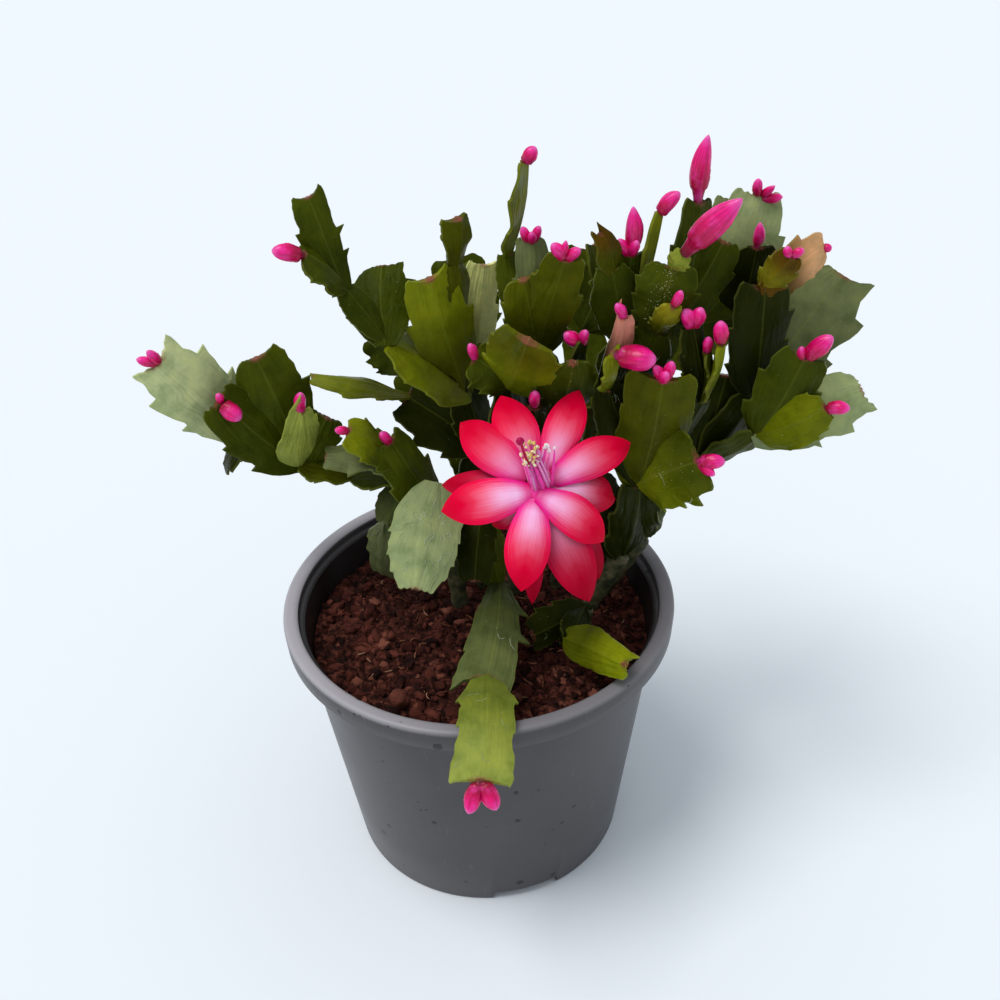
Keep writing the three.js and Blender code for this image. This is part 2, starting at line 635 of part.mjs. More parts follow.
function fatPad(name) {
  return padSolid(padPlace(name), GAP);
}

// Buds

// A pointed bud on its small round receptacle.
function budSolid(from, tip, thickness) {
  const length = from.distanceTo(tip);
  const radius = thickness / 2;
  const profile = [
    [0, 0], [radius * 0.6, 0], [radius, length * 0.45], [radius * 0.7, length * 0.8], [0, length],
  ];
  if (thickness < SMALL_BUD) profile.splice(3, 1);
  const points = profile.map(([x, y]) => new THREE.Vector2(x, y));
  return solidOf(alongPoints(new THREE.LatheGeometry(points, BUD_SIDES), from, tip));
}

function bunchSolid([padName, buds]) {
  const { to, from } = padPlace(padName);
  const outwards = to.clone().sub(from).normalize();
  const seat = to.clone().addScaledVector(outwards, GAP);
  const solids = buds.map(([tip, thickness]) => budSolid(seat, vector(tip), thickness));
  return join(solids).subtract(fatPad(padName));
}

// Flower

// The flower's own directions: out of its mouth, to its right and up its face.
function flowerDirections() {
  const out = MOUTH.clone().sub(padPlace(FLOWER_PAD).to).normalize();
  const right = out.clone().cross(UP).negate().normalize();
  return { out, right, up: right.clone().cross(out).negate() };
}

function tubeSolid() {
  const foot = padPlace(FLOWER_PAD).to;
  const length = foot.distanceTo(MOUTH);
  const floor = length - MOUTH_DEPTH - GAP;
  const profile = [
    [0, 0], [TUBE_FOOT_RADIUS, 0], [TUBE_FOOT_RADIUS * 1.2, length * 0.3],
    [MOUTH_RADIUS * 0.75, length * 0.6], [MOUTH_RADIUS, length],
    [MOUTH_RADIUS - 1, length], [MOUTH_RADIUS * 0.5, floor], [0, floor],
  ];
  const points = profile.map(([x, y]) => new THREE.Vector2(x, y));
  const tube = new THREE.LatheGeometry(points, TUBE_SIDES).translate(0, GAP, 0);
  return solidOf(alongPoints(tube, foot, MOUTH));
}

// A point of the flower, by how far it lies across, up and out from the middle of the mouth.
function flowerPoint({ right, up, out }, across, upwards, outwards) {
  return MOUTH.clone()
    .addScaledVector(right, across)
    .addScaledVector(up, upwards)
    .addScaledVector(out, outwards);
}

// One petal. Those further back start lower and closer in on the tube.
function petalSolid([acrossTip, upTip, back, width], directions) {
  const tip = flowerPoint(directions, acrossTip, upTip, -back);
  const angle = Math.atan2(upTip, acrossTip);
  const ring = MOUTH_RADIUS - PETAL_SEAT_INSET - back * PETAL_SEAT_TAPER;
  const depth = PETAL_SEAT_DEPTH + back * PETAL_SEAT_STEP;
  const from = flowerPoint(directions, ring * Math.cos(angle), ring * Math.sin(angle), -depth);
  const { out } = directions;
  const along = tip.clone().sub(from);
  const across = along.clone().cross(out).normalize();
  const face = across.clone().cross(along).normalize();
  return bladeSolid(PETAL_HALF, PETAL_LINE, (u, v, side) => from.clone()
    .addScaledVector(along, u)
    .addScaledVector(across, (v * width) / 2)
    .addScaledVector(face, side * (v === 0 && u < 1 ? PETAL_MIDDLE : PETAL_EDGE) / 2
      + PETAL_BULGE * Math.sin(Math.PI * Math.min(u, 1) ** 0.8) - PETAL_CUP * v * v));
}

function petalsSolid() {
  const directions = flowerDirections();
  const petals = PETALS.map((petal) => petalSolid(petal, directions));
  return join([tubeSolid(), ...petals]).subtract(fatPad(FLOWER_PAD));
}

// A round rod between two points of the flower.
function rodSolid(from, to, footRadius, topRadius, sides) {
  const length = from.distanceTo(to);
  const rod = new THREE.CylinderGeometry(topRadius, footRadius, length, sides).translate(0, length / 2, 0);
  return solidOf(alongPoints(rod, from, to));
}

// Stamens lean up out of the mouth in one bundle, each with its anther.
function stamensSolid() {
  const directions = flowerDirections();
  const seat = flowerPoint(directions, ...BUNDLE_FOOT, 1.5 * GAP - MOUTH_DEPTH);
  const core = flowerPoint(directions, ...BUNDLE_TOP, 0.8 * STAMEN_LENGTH - MOUTH_DEPTH);
  const [middleAcross, middleUp] = ANTHERS_MIDDLE;
  const solids = [rodSolid(seat, core, BUNDLE_RADIUS, BUNDLE_RADIUS, 6)];
  const random = seeded(7);
  for (let i = 0; i < STAMENS; i += 1) {
    const angle = (2 * Math.PI * i) / STAMENS;
    const spread = ANTHER_SPREAD + ANTHER_SCATTER * random();
    const reach = STAMEN_LENGTH - MOUTH_DEPTH + 3 * random();
    const across = middleAcross + spread * Math.cos(angle);
    const tip = flowerPoint(directions, across, middleUp + spread * Math.sin(angle), reach);
    solids.push(rodSolid(seat.clone().lerp(core, 0.5), tip, FILAMENT_RADIUS, FILAMENT_RADIUS, 3));
    solids.push(solidOf(new THREE.OctahedronGeometry(ANTHER_RADIUS, 0).translate(tip.x, tip.y, tip.z)));
  }
  return join(solids);
}

// The style runs in front of the stamens and ends in a round stigma.
function pistilSolid() {
  const directions = flowerDirections();
  const seat = flowerPoint(directions, ...STYLE_FOOT, GAP - 0.9 * MOUTH_DEPTH);
  const tip = flowerPoint(directions, ...STIGMA_PLACE, STYLE_LENGTH - MOUTH_DEPTH);
  const stigma = new THREE.IcosahedronGeometry(STIGMA_RADIUS, 0).translate(tip.x, tip.y, tip.z);
  return join([rodSolid(seat, tip, STYLE_RADIUS, STYLE_RADIUS, 6), solidOf(stigma)]);
}

// The whole object

const object = new THREE.Group();
object.add(meshOf('pot', potSolid(), COLOURS.pot, 0.55));
object.add(meshOf('soil', soilSolid(), COLOURS.soil, 0.95));
for (const [name, stem] of Object.entries(STEMS)) {
  object.add(meshOf(name, stemSolid(stem), COLOURS.pad, 0.45));
}
for (const [name, bunch] of Object.entries(BUD_BUNCHES)) {
  object.add(meshOf(name, bunchSolid(bunch), COLOURS.bud, 0.4));
}
object.add(meshOf('flower_petals', petalsSolid(), COLOURS.petal, 0.5));
object.add(meshOf('flower_stamens', stamensSolid(), COLOURS.stamen, 0.6));
object.add(meshOf('flower_pistil', pistilSolid(), COLOURS.pistil, 0.45));

export default object;
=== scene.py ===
"""The look of a potted christmas cactus, laid over the solids of its part.

The tables give places in millimetres, as the part does; every mesh is in metres.
"""
import math
import random
from contextlib import contextmanager
from functools import partial

import bpy
import numpy as np
from bpy.props import FloatProperty, FloatVectorProperty, IntProperty, PointerProperty
from mathutils import Matrix, Quaternion, Vector, noise


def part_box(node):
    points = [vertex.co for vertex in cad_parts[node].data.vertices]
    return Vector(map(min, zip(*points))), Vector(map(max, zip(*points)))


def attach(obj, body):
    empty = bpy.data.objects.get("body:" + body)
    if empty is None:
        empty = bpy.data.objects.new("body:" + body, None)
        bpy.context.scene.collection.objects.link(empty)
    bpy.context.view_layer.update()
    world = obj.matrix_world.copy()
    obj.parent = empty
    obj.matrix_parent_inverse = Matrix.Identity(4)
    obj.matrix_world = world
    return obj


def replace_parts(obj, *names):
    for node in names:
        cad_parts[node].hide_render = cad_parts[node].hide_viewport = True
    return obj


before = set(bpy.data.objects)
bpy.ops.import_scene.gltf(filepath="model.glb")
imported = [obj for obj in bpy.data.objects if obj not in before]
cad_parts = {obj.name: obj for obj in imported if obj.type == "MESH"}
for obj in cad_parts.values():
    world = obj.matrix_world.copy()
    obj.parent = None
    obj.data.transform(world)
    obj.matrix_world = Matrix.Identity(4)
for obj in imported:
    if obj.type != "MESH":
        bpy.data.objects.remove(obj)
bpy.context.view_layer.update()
POT_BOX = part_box("pot")

bl_info = {
    "name": "Potted Christmas Cactus",
    "version": (1, 0, 0),
    "blender": (4, 5, 0),
    "location": "3D View > Sidebar > Cactus",
    "description": "Builds the pads, buds, flower, soil and pot of a potted christmas cactus",
    "category": "Object",
}

MM = 0.001
# The way that most pads face.
FRONT = Vector((0, -0.83, 0.56)).normalized()
UP = Vector((0, 0, 1))
# The levels of the soil and of the top of the pot's floor.
SOIL_LEVEL, FLOOR_TOP = 77.6, 4.2

# Each stem: the name that its segments share and where it enters the soil, then a row for each
# segment, from the soil outwards: its own name, what it grows from, the place of its tip, its
# width and its turn about its own length. A skin may follow, or one at the foot that turns to
# another at the tip, and then the outlines of the left and right side, where the photograph
# shows them to be unlike the common ones.
STEM_ROWS = {
    "stem_left": """left -6 10
    foot root -8 12 102 6 0
    knee foot -17 14 124 9 30
    low foot -11 4 126 13 0 deep
    front low -18 -18 106 20 0 dusty oval/oval
    hang knee -27 8 111 13 10 slate
    hang_tip hang -30 16 87 12 20 grey
    neck knee -22 13 131 7 20
    arm knee -36 18 123 14 60 green
    elbow arm -52 20 127 13 50 olive
    grey neck -43 12 134 13 45 grey
    inner neck -35 10 144 14 40 green moss
    between elbow -42 22 142 15 20 green
    young elbow -48 12 150 13 40 lemon spire/oval
    lower elbow -71 12 155 18 10 dark
    dark elbow -60 20 164 21 10 green dome/first_teeth
    reach elbow -65 24 137 14 20 bright
    end reach -85 10 169 21 0 sage horned/horned
    drop reach -76 28 123 12 50 deep
    broad foot -24 12 139 16 30 green""",
    "stem_upper_left": """upper 2 20
    foot root 2 21 104 6 0
    first foot 3 22 129 15 20 deep
    joint first -1 20 149 14 25 deep
    bright joint -9 12 189 18 5 olive moss
    folded joint -22 10 172 16 40 moss oval/second_teeth
    link folded -32 14 186 9 20 dark
    tall link -39 17 211 12 10 dark green first_teeth/spiny
    edge link -41 9 198 12 50 green
    dark folded -22 26 187 17 0 dark dome/horned
    side first -19 28 144 20 20 deep
    blade side -46 26 153 16 68 olive moss
    back joint -1 20 171 14 30 deep
    grey back -2 16 191 10 50 olive
    wedge grey 0 12 205 12 50 olive wedge/oblong
    pale joint 6 27 186 14 30 pale""",
    "stem_centre": """centre 12 14
    foot root 13 15 104 6 0
    first foot 13 14 130 13 20 deep
    flowering foot 17 1 122 13 0 deep
    second first 11 5 159 15 30 deep
    face second 16 -12 181 20 0 moss olive scalloped/scalloped
    spiky second 2 4 168 14 10 green
    hidden first 18 -4 157 14 30 deep
    rising first 24 4 146 16 20 deep
    brown_tip rising 28 -6 171 17 20 deep dark dome/dome
    upright first 20 13 164 18 30 deep
    dull upright 16 8 189 15 0 olive dome/first_teeth
    grey upright 19 18 196 11 0 grey
    step upright 13 26 189 11 10 green
    blade step 18 22 216 14 80 moss
    crowned upright 27 2 197 14 0 olive
    thin rising 32 2 173 10 70 deep""",
    "stem_top_right": """top 26 18
    foot root 30 17 104 6 0
    first foot 36 16 130 13 20
    second first 44 14 152 15 40
    middle second 43 12 167 14 10
    green middle 39 6 192 14 0 dark
    bronze green 36 4 202 9 20 olive bronze pointed/spire
    band middle 36 20 193 11 50 dark
    budding middle 45 10 194 13 0 dark
    wand middle 52 10 205 9 75 olive moss
    toothed second 51 2 175 15 0 dark
    dusty toothed 55 2 193 17 0 dark green
    young dusty 57 0 197 6 0 yellow
    fork second 58 16 168 14 30
    high fork 63 14 206 12 30 dark
    shade fork 71 16 194 15 10 dark
    right_base fork 79 24 167 14 20
    right right_base 81 20 190 15 0 deep dome/first_teeth
    far right_base 84 34 200 19 0 grey dusty
    far_side right_base 79 44 195 14 20 grey
    fish_tail toothed 54 -5 185 7 20 olive ochre""",
    "stem_right": """right 40 12
    foot root 51 10 99 7 60
    rise foot 57 13 110 9 40
    first rise 68 12 126 13 50 dark
    second first 83 6 138 13 60 dark
    upper second 92 0 166 18 0 green dark
    bright second 98 -6 153 15 10 bright moss oval/oval
    sage second 113 8 150 19 0 dusty dome/horned
    link first 84 16 145 15 40 deep
    giant link 108 24 179 26 0 grey dome/horned
    black first 75 18 152 19 20 deep
    deep link 81 8 184 18 0 deep
    olive deep 86 3 194 9 10 ochre bronze
    peach deep 98 14 191 14 35 bronze peach first_teeth/dome""",
    "stem_front_right": """front_right 34 4
    foot root 44 4 98 6 0
    first foot 48 0 127 16 30 deep
    inner foot 36 8 124 16 10 deep
    big first 52 -8 166 20 0 olive board/board
    broad first 62 -14 143 23 0 moss green
    hang first 50 6 104 13 20 deep
    rise first 38 1 159 14 10 deep
    light rise 39 -6 173 10 60 moss
    crumpled rise 42 -3 182 9 0 deep rose pointed/oblong
    stand first 65 1 154 12 50 deep
    blade stand 67 -7 175 13 80 olive moss
    sliver stand 64 -4 171 8 80 olive
    twin stand 59.5 -2 178 10 20 deep""",
    "stem_front": """front 6 0
    foot root 6 -2 94 6 0
    first foot 1 -42 92 19 0 slate dull spiny/wedge
    over_rim first -2 -73 86 20 0 lime lemon square_tip/square_tip
    riser foot 2 4 116 11 20
    shade riser -1 -9 101 12 0 deep""",
    "stem_low": """low 30 -6
    foot root 32 -6 86 6 0
    left foot 15 -16 85 13 0 deep spiny/second_teeth
    right_base foot 26 -22 88 9 10 deep
    right right_base 39 -45 98 15 0 moss bright pointed/oblong""",
    "stem_back_left": """back_left 4 32
    foot root 2 36 102 6 0
    first foot -4 44 124 14 20
    second first -20 54 140 17 160
    end second -28 60 150 18 150
    inner first 4 60 146 17 190
    out inner -2 75 168 21 180
    up inner -2 56 172 17 200""",
    "stem_back_right": """back_right 26 32
    foot root 32 36 102 6 0
    first foot 42 44 124 17 160
    second first 60 52 142 17 200
    end second 82 56 149 19 190
    inner first 38 62 146 17 170
    out inner 42 77 168 21 180
    up inner 48 58 174 18 160""",
}

# The bunches of buds, named after their pads: the tip of each bud and its thickness.
BUD_BUNCHES = {
    "left_end": [(-90, 8, 171, 2.8), (-86, 7, 174, 2.8)],
    "left_lower": [(-64, 8, 150, 5), (-70, 10, 158, 2.4)],
    "left_young": [(-47, 11, 157, 3.4)],
    "left_inner": [(-39, 9, 145, 2.6)],
    "left_broad": [(-26, 10, 143, 3)],
    "upper_edge": [(-49, 6, 201, 4.6)],
    "centre_spiky": [(1, 2, 174, 2.8)],
    "centre_blade": [(21, 21, 220, 3.8)],
    "centre_grey": [(16, 17, 201, 2.8), (22, 17, 201, 2.8), (19, 14, 200, 2.6)],
    "centre_crowned": [(22, 1, 203, 3.8), (27, 1, 204, 2.6), (32, 0, 201, 3.2)],
    "centre_thin": [(26, 1, 176, 4), (32, -2, 178, 2.8)],
    "centre_hidden": [(18, -6, 163, 3)],
    "top_budding": [(45, 9, 208, 5), (41, 8, 199, 3), (46, 6, 199, 2.8)],
    "top_wand": [(57, 8, 211, 4)],
    "top_dusty": [(70, -8, 215, 7.4)],
    "top_high": [(64, 12, 225, 5.6)],
    "top_right": [(81, 18, 198, 3.4)],
    "top_far": [(83, 32, 205, 2.8), (91, 32, 199, 2.8), (88, 31, 203, 2.4)],
    "right_olive": [(84, 2, 197, 2.4), (89, 2, 196, 2.4)],
    "right_peach": [(100, 13, 191.5, 2.4)],
    "right_upper": [(98, -4, 174, 5), (90, -2, 170, 2.4)],
    "right_bright": [(104, -9, 154, 3.8)],
    "front_right_big": [(49, -10, 171, 2.8), (54, -10, 172, 3.2), (52, -13, 170, 3)],
    "front_right_light": [(50, -12, 173, 6.6)],
    "front_right_crumpled": [(39, -5, 187, 3)],
    "top_fish_tail": [(56, -6, 190, 2.6)],
    "front_right_twin": [(57, -5, 184, 4), (62, -4, 184, 4)],
    "front_right_blade": [(66, -8, 182, 4)],
    "front_right_sliver": [(64, -5, 176, 2.8)],
    "front_right_broad": [(69, -17, 144, 4.2), (66, -18, 140, 2.8)],
    "front_over_rim": [(-7, -79, 77, 5), (3, -79, 78, 5.2)],
}
# A bunch that grows from another pad than its name says.
BUD_PADS = {"top_dusty": "top_young"}
# How much shorter the buds of a bunch are than their places say.
BUD_SHRINK = {
    "front_over_rim": 0.74, "centre_crowned": 0.72, "centre_grey": 0.8,
    "front_right_crumpled": 0.88,
}
COMMON_SHRINK = 0.93

# The colour of each skin of a pad, and the skins of the pads whose rows give none.
# The pale sage and dusty skins are partly painted sheen, the waxy pads' reflection of the soft
# light, and the deep skin is painted shade, given mostly to the pads inside the plant.
SKINS = {
    "sage": "b4bd88", "grey": "687048", "pale": "c2c27a", "bright": "747c0a", "yellow": "8c9434",
    "olive": "4c5006", "green": "404808", "dark": "363e05", "deep": "1e2302", "bronze": "583e06",
    "peach": "cc9a6c", "rose": "bc7a68", "ochre": "827a16", "moss": "6c730c", "dusty": "8a9668",
    "slate": "424a26", "lime": "76822e", "lemon": "909a44", "dull": "565e35",
}
COMMON_SKINS = ["dark", "green", "deep", "green", "dark"]

# How many dusty specks and curled white fibres lie on a pad.
DUST = {
    "top_dusty": (190, 0), "left_front": (34, 30), "front_right_broad": (60, 3),
    "front_over_rim": (24, 5), "centre_hidden": (14, 3), "front_right_big": (8, 0),
    "upper_folded": (16, 0), "right_bright": (12, 0), "top_toothed": (12, 2),
    "front_right_rise": (34, 4), "front_right_inner": (22, 5), "centre_brown_tip": (12, 1),
    "low_left": (8, 2), "front_first": (12, 2),
}

# One side of a pad or petal from its foot to its tip, in thousandths: how far along, how far out.
# For the two buds it is how far along, and the radius: a thick one has a neck under its petals.
SIDE_ROWS = {
    "first_teeth": """
    0 150 30 270 70 480 110 660 160 790 210 880 260 940 325 1000 335 860 380 850 450 910 530
    980 600 1030 675 1090 682 890 720 860 780 870 840 860 890 830 940 790 970 740 995 680 1010
    600""",
    "second_teeth": """
    0 150 30 250 80 500 130 700 180 820 225 900 232 800 280 830 340 900 410 960 470 1020 477
    870 540 890 610 940 680 1000 750 1060 757 870 810 840 870 820 920 780 955 720 980 650 995
    560""",
    "worn_teeth": """
    0 160 40 280 90 460 140 600 200 700 260 780 330 850 400 910 460 950 520 980 580 1000 645
    1020 655 940 700 930 750 900 800 860 840 810 880 760 910 700 940 650 960 600 980 560 1000
    520""",
    "scalloped": """
    0 300 10 500 30 700 60 820 100 900 150 950 200 990 270 1020 275 930 330 930 400 970 470
    1020 540 1050 545 950 600 940 660 970 730 1010 800 1030 805 900 860 870 910 820 960 740
    1000 660""",
    "square_tip": """
    0 336 20 420 60 521 110 605 170 697 230 773 290 840 295 739 350 706 420 722 500 756 570 798
    575 706 640 722 710 756 780 781 850 806 910 823 950 840 985 815 1010 756 1000 697 985 630""",
    "oblong": """
    0 390 20 484 50 577 90 647 140 702 200 741 270 764 340 780 420 788 500 780 560 772 620 757
    680 741 730 718 780 702 830 679 870 655 900 624 930 601 960 577 980 515 1000 437 1010 351""",
    "pointed": """
    0 344 20 430 50 533 90 619 140 688 200 740 270 774 340 791 420 791 500 774 560 748 620 714
    680 671 730 636 780 602 830 568 880 542 930 525 980 516 1040 516 1100 516 1150 499 1180 447""",
    "dome": """
    0 300 30 450 70 620 120 760 180 860 240 930 300 970 370 1000 375 920 440 940 510 980 580
    1030 585 930 640 930 700 940 760 950 765 840 820 800 870 740 910 660 940 580 960 480 970
    360""",
    "horned": """
    0 350 40 500 80 620 130 720 180 800 240 860 300 920 360 980 420 1020 470 1100 475 880 530
    900 600 960 660 1000 730 1040 790 1100 795 820 850 770 900 720 950 710 1000 720 1040 720
    1030 620""",
    "board": """
    0 300 30 450 70 620 120 760 180 870 250 950 320 1000 400 1020 470 1030 475 970 540 970 610
    990 670 1010 730 1040 735 960 790 960 840 970 890 980 930 970 960 930 980 870 1000 800 1000
    720""",
    "oval": """
    0 350 30 500 70 650 120 780 170 880 230 950 290 990 360 1020 430 1040 490 1050 495 980 550
    980 600 980 660 980 710 970 715 900 760 870 810 840 860 800 865 720 900 660 940 580 980 500""",
    "spiny": """
    0 264 40 370 80 458 130 528 180 581 240 634 300 704 360 924 365 634 420 651 480 686 540 739
    600 1038 605 686 660 686 720 704 780 730 840 748 900 757 950 757 990 739 1030 704 1050 634""",
    "wedge": """
    0 250 50 320 100 380 150 440 200 500 260 550 320 600 380 650 440 690 500 730 550 760 600
    790 650 820 700 850 750 880 755 820 800 850 850 880 900 920 950 960 1000 1000 1050 1020
    1090 1000""",
    "spire": """
    0 350 30 500 70 640 120 770 170 870 230 950 300 1000 370 1020 440 1010 510 980 580 930 640
    870 700 810 760 750 820 680 880 610 940 530 1000 450 1060 370 1120 290 1180 210 1250 120
    1300 60""",
    "petal_side": """
    0 420 50 500 100 580 160 670 220 760 280 840 340 900 400 950 460 985 520 1000 580 990 640
    955 700 895 750 820 800 720 840 620 880 500 910 400 940 290 960 200 980 110 990 60 1000 15""",
    "thick_bud": """
    0 400 50 440 120 480 180 530 230 600 250 770 300 900 400 1000 520 1000 640 930 740 800 830
    610 900 420 960 220 1000 0""",
    "plump_bud": """
    0 400 60 440 120 480 170 540 190 780 270 920 400 1040 540 1080 680 1020 800 860 900 600 960
    340 1000 0""",
}
SIDES = {
    name: np.array(row.split(), float).reshape(-1, 2) / 1000 for name, row in SIDE_ROWS.items()}
OUTLINE_STEPS = len(SIDES["first_teeth"]) - 1
COMMON_SIDES = [
    ("first_teeth", "second_teeth"), ("second_teeth", "first_teeth"),
    ("first_teeth", "first_teeth"),
]
WORN_SIDES = ("worn_teeth", "worn_teeth")

# How a pad is shaped. Lengths are in millimetres; the rest are shares of its length or width.
# A pad from this width on has teeth, and so has each pad at the end of a stem.
TOOTHED_WIDTH = 16
# How far the middle of a pad stands above the straight line from its foot to its tip.
ARCHES = {"front_over_rim": 5, "front_first": 3, "left_front": 3}
COMMON_ARCH = 1
# Its foot runs into the pad below it.
PAD_SINK, SINK_SHARE = 2, 0.12
# It is cupped across, and bows a little to one side.
PAD_CUP, PAD_BOW = 0.07, 0.03
# The middle of its tip lies a little behind its corners, and its rows bow to reach them.
TIP_MIDDLE, ROW_BOW = 0.97, 2.6
# The edge of its tip is scalloped, in so many lobes to a side.
TIP_LOBES, LOBE_HEIGHT, LOBE_FADE = 3, 0.02, 14
# The midrib, as a share of the thickness and of half the width, and the swelling round it.
RIB_SHARE, RIB_WIDTH, SWELLING = 0.4, 0.13, 1.6
# From here on a pad thins towards its tip.
THINS_FROM, THINNING = 0.6, 0.25
# Its outline is ragged by so much, along and out.
RAGGED_ALONG, RAGGED_OUT = 0.006, (0.965, 1.04)
# Its edges wave so many times along it, the left one ahead of the right one. The waves are as
# high as the setting says on a pad of the common width, and higher on a wider one.
PAD_WAVES, SIDES_APART, COMMON_WIDTH = (1.1, 2.2), 1.6, 18
# What turns by chance turns by up to this many radians.
FULL_TURN = 6.28
# Where its first skin starts to turn to its last and over what share; how light it is at its foot
# and how much it gains to its tip, a painted shade that darkens each pad towards its foot; and how
# far one pad differs from another.
TURNS_FROM, TURNS_OVER = 0.3, 0.55
PAINTED_FOOT_SHADE, PAINTED_TIP_GAIN, LIGHT_SPREAD = 0.8, 0.32, (0.88, 1.12)

# The round woody segments are those that grow from the soil: their radius there, how deep they
# stand in it and with what share of them, and how they reach past their tip into the next pads.
STALK_RADIUS, STALK_DEPTH, STALK_IN_SOIL, STALK_REACH = 2.6, 12, 0.35, 1.1
# Their swollen rings, and how flat they are.
STALK_RINGS, RING_HEIGHT, STALK_FLATNESS = 37, 0.06, 0.8

# The bristles of a tip: how many, how thick, how far they lean, and how far they spread across it
# at most and as a share of the pad's width.
BRISTLES, BRISTLE_RADIUS, BRISTLE_LEAN = 12, 0.13, 0.8
TUFT_REACH, TUFT_SHARE = 1.5, 0.09

# A curl of lint lies just above its pad, in steps that are shares of the pad's width and length.
# The grains of dust are scattered about a line along the pad.
LINT_LIFT, LINT_STEPS, LINT_ACROSS, LINT_ALONG = 0.12, 9, 0.055, 0.035
LINT_COLOURS = ["f4f8ea", "d8e0c0", "b0b992"]
GRAIN_RADIUS, GRAIN_SPREAD = (0.05, 0.13), 0.25
GRAIN_COLOURS = ["a9ac6c", "8f8450", "c0c294", "77743e"]

# A bud longer than this many times its thickness is pointed, and the others are plump.
SLENDER_FROM = 2.6
# The petals round a bud, how far they wind, and how far each stands over the hollow of the next.
BUD_PETALS, BUD_WINDING, BUD_STEP, BUD_HOLLOW = 3, 0.9, 0.1, 0.04
# They start at this share of its length, over the first share, and end over the last.
WRAP_START, WRAP_RISE, WRAP_FALL = 0.24, 0.1, 0.12
# The scales at its neck: where, how far to both sides, and how high.
SCALES_AT, SCALES_SPREAD, SCALE_HEIGHT = 0.2, 0.12, 0.16
BUD_BEND = 0.05

# The flower: its pad and its mouth.
FLOWER_PAD = "centre_flowering"
MOUTH = Vector((18, -24, 145))
MOUTH_RADIUS = 5.2
# How a petal is bent: the bulge of its length, the curl of its tip and where that starts, the cup
# across it, and how far it sways to one side.
PETAL_BULGE, PETAL_CURL, CURLS_FROM, PETAL_CUP, PETAL_SWAY = 4, 2.2, 0.72, 1.9, 0.6
# The groove along its middle: its depth and its share of half the width. Then how it thins to its
# tip.
PETAL_GROOVE, GROOVE_SHARE, PETAL_THINNING = 0.14, 0.35, 0.5
# The ruffles of its edges: how high, how many radians they run through, where they may start, and
# how far the right edge is from the left one.
PETAL_RUFFLE, RUFFLE_RUN, RUFFLE_START, RUFFLE_APART = 0.5, (9, 13), (0, 6), 2
# Each petal as seen from the front: its tip (across, up, back), its width, where it leaves the
# mouth (across, up, out), and how pale its middle is.
PETALS = [
    ((-27, -5, 2), 12, (-3, -2.4, 0.6), 1), ((-7.5, -28, 2), 12, (-2.2, -4.2, 0.8), 0.85),
    ((16, -16.5, 3), 11, (-1.2, -3.2, 1.7), 0.8), ((26, 10, 4), 10.5, (2.4, 0.2, -0.6), 0.7),
    ((21.5, -4, 9), 11, (1.6, -1.8, -1.2), 0.9), ((-20, 19, 3), 11.5, (-4, 1, -0.4), 0.5),
    ((-8.5, 25, 2), 12, (-2.2, 3.6, -3.2), 0.55), ((13, 25, 2), 10.5, (1.6, 3.4, -3), 0.75),
    ((-26.5, 3, 9), 8, (-3.2, -0.6, -2.6), 0.2), ((-14, -9, 10), 9, (-2.6, -3.2, -2.6), 0.8),
    ((11.5, -32, 10), 12.5, (0.4, -4.2, -2), 0.4), ((15, -26, 13), 12, (1.6, -4, -4), 0.3),
    ((-4, -31.5, 12), 6, (-2, -4.6, -3.4), 0),
]
# Painted shade: how much darker a petal is for each millimetre that its tip lies further back.
PETAL_PAINTED_SHADE = 0.045
# The ovals on which the stamens start, bend and end, as seen from the front: the middle (across,
# up) and the half width and height. Some end apart from the others, one in so many.
STAMEN_STARTS, STAMEN_BENDS = (0, -1.2, 2.6, 2.4), (0.2, -0.5, 3, 2.6)
STAMEN_TIPS, APART_TIPS, APART_ONE_IN = (-3, 6.4, 2.4, 3.6), (2.2, 7.6, 2.2, 1.1), 7
# How far out of the mouth they start, bend and end.
STARTS_OUT, BENDS_OUT, TIPS_OUT = -4, 1.5, (5, 11)
# The radii of a filament's foot and tip, and an anther's half widths and length.
FILAMENT_RADII, ANTHER_WIDTHS, ANTHER_LENGTH = (0.6, 0.26), (0.42, 0.34), (1.1, 1.6)
# The low dome that they grow from: its place (across, up, out), radius and height.
DOME_PLACE, DOME_RADIUS, DOME_HEIGHT = (-1, -2.3, -0.3), 3.6, 3.4
FILAMENT_COLOURS = ["ff4cb2", "ff74c2", "ffa4da"]
CREAM_ANTHERS = ["f6e0a0", "fff0c8", "eacb78"]
PALE_ANTHERS = ["fff4ea", "ffe6ee"]
# The style's foot and tip (across, up, out), how far it sags and its radii there, and the stigma.
STYLE_FOOT, STYLE_TIP, STYLE_SAG, STYLE_RADII = (0, -1.8, -6), (-6, 8, 18), 1.2, (0.5, 0.35)
STIGMA_RADIUS, STIGMA_LENGTH, STIGMA_LOBES, STIGMA_LOBE_HEIGHT = 1.1, 2.3, 6, 0.03

# The relief of the soil. Low lumps: how many to a millimetre, and how high. Then clods and finer
# grains: where their pattern is read, how many to a millimetre, how far they reach and how high
# they are. The whole is let down again by the last number.
LUMPS_PER_MM, LUMP_HEIGHT = 0.3, 1.2
SOIL_BUMPS = [(9, 0.34, 0.62, 2.6), (21, 0.8, 0.6, 1.2)]
RELIEF_DROP = 1.3
# Loose crumbs: how far from the wall they stay, the smallest as a share of a middling one and how
# much more the largest has, how long, broad and high they are drawn, and how far they lean.
CRUMBS_INSIDE, SMALLEST_CRUMB, CRUMB_RANGE, CRUMB_LEAN = 2, 0.4, 1.8, 0.6
CRUMB_STRETCH = [(0.7, 1.6), (0.6, 1.1), (0.5, 1)]
# Loose fibres: how far from the wall they stay, their length and rise, how far their middle is
# pushed aside and up, and their radii.
FIBRES_INSIDE, FIBRE_LENGTH, FIBRE_RISE = 7, (1.5, 5), (-0.15, 0.3)
FIBRE_PUSH, FIBRE_HUMP, FIBRE_RADII = 2, 0.4, (0.26, 0.1)
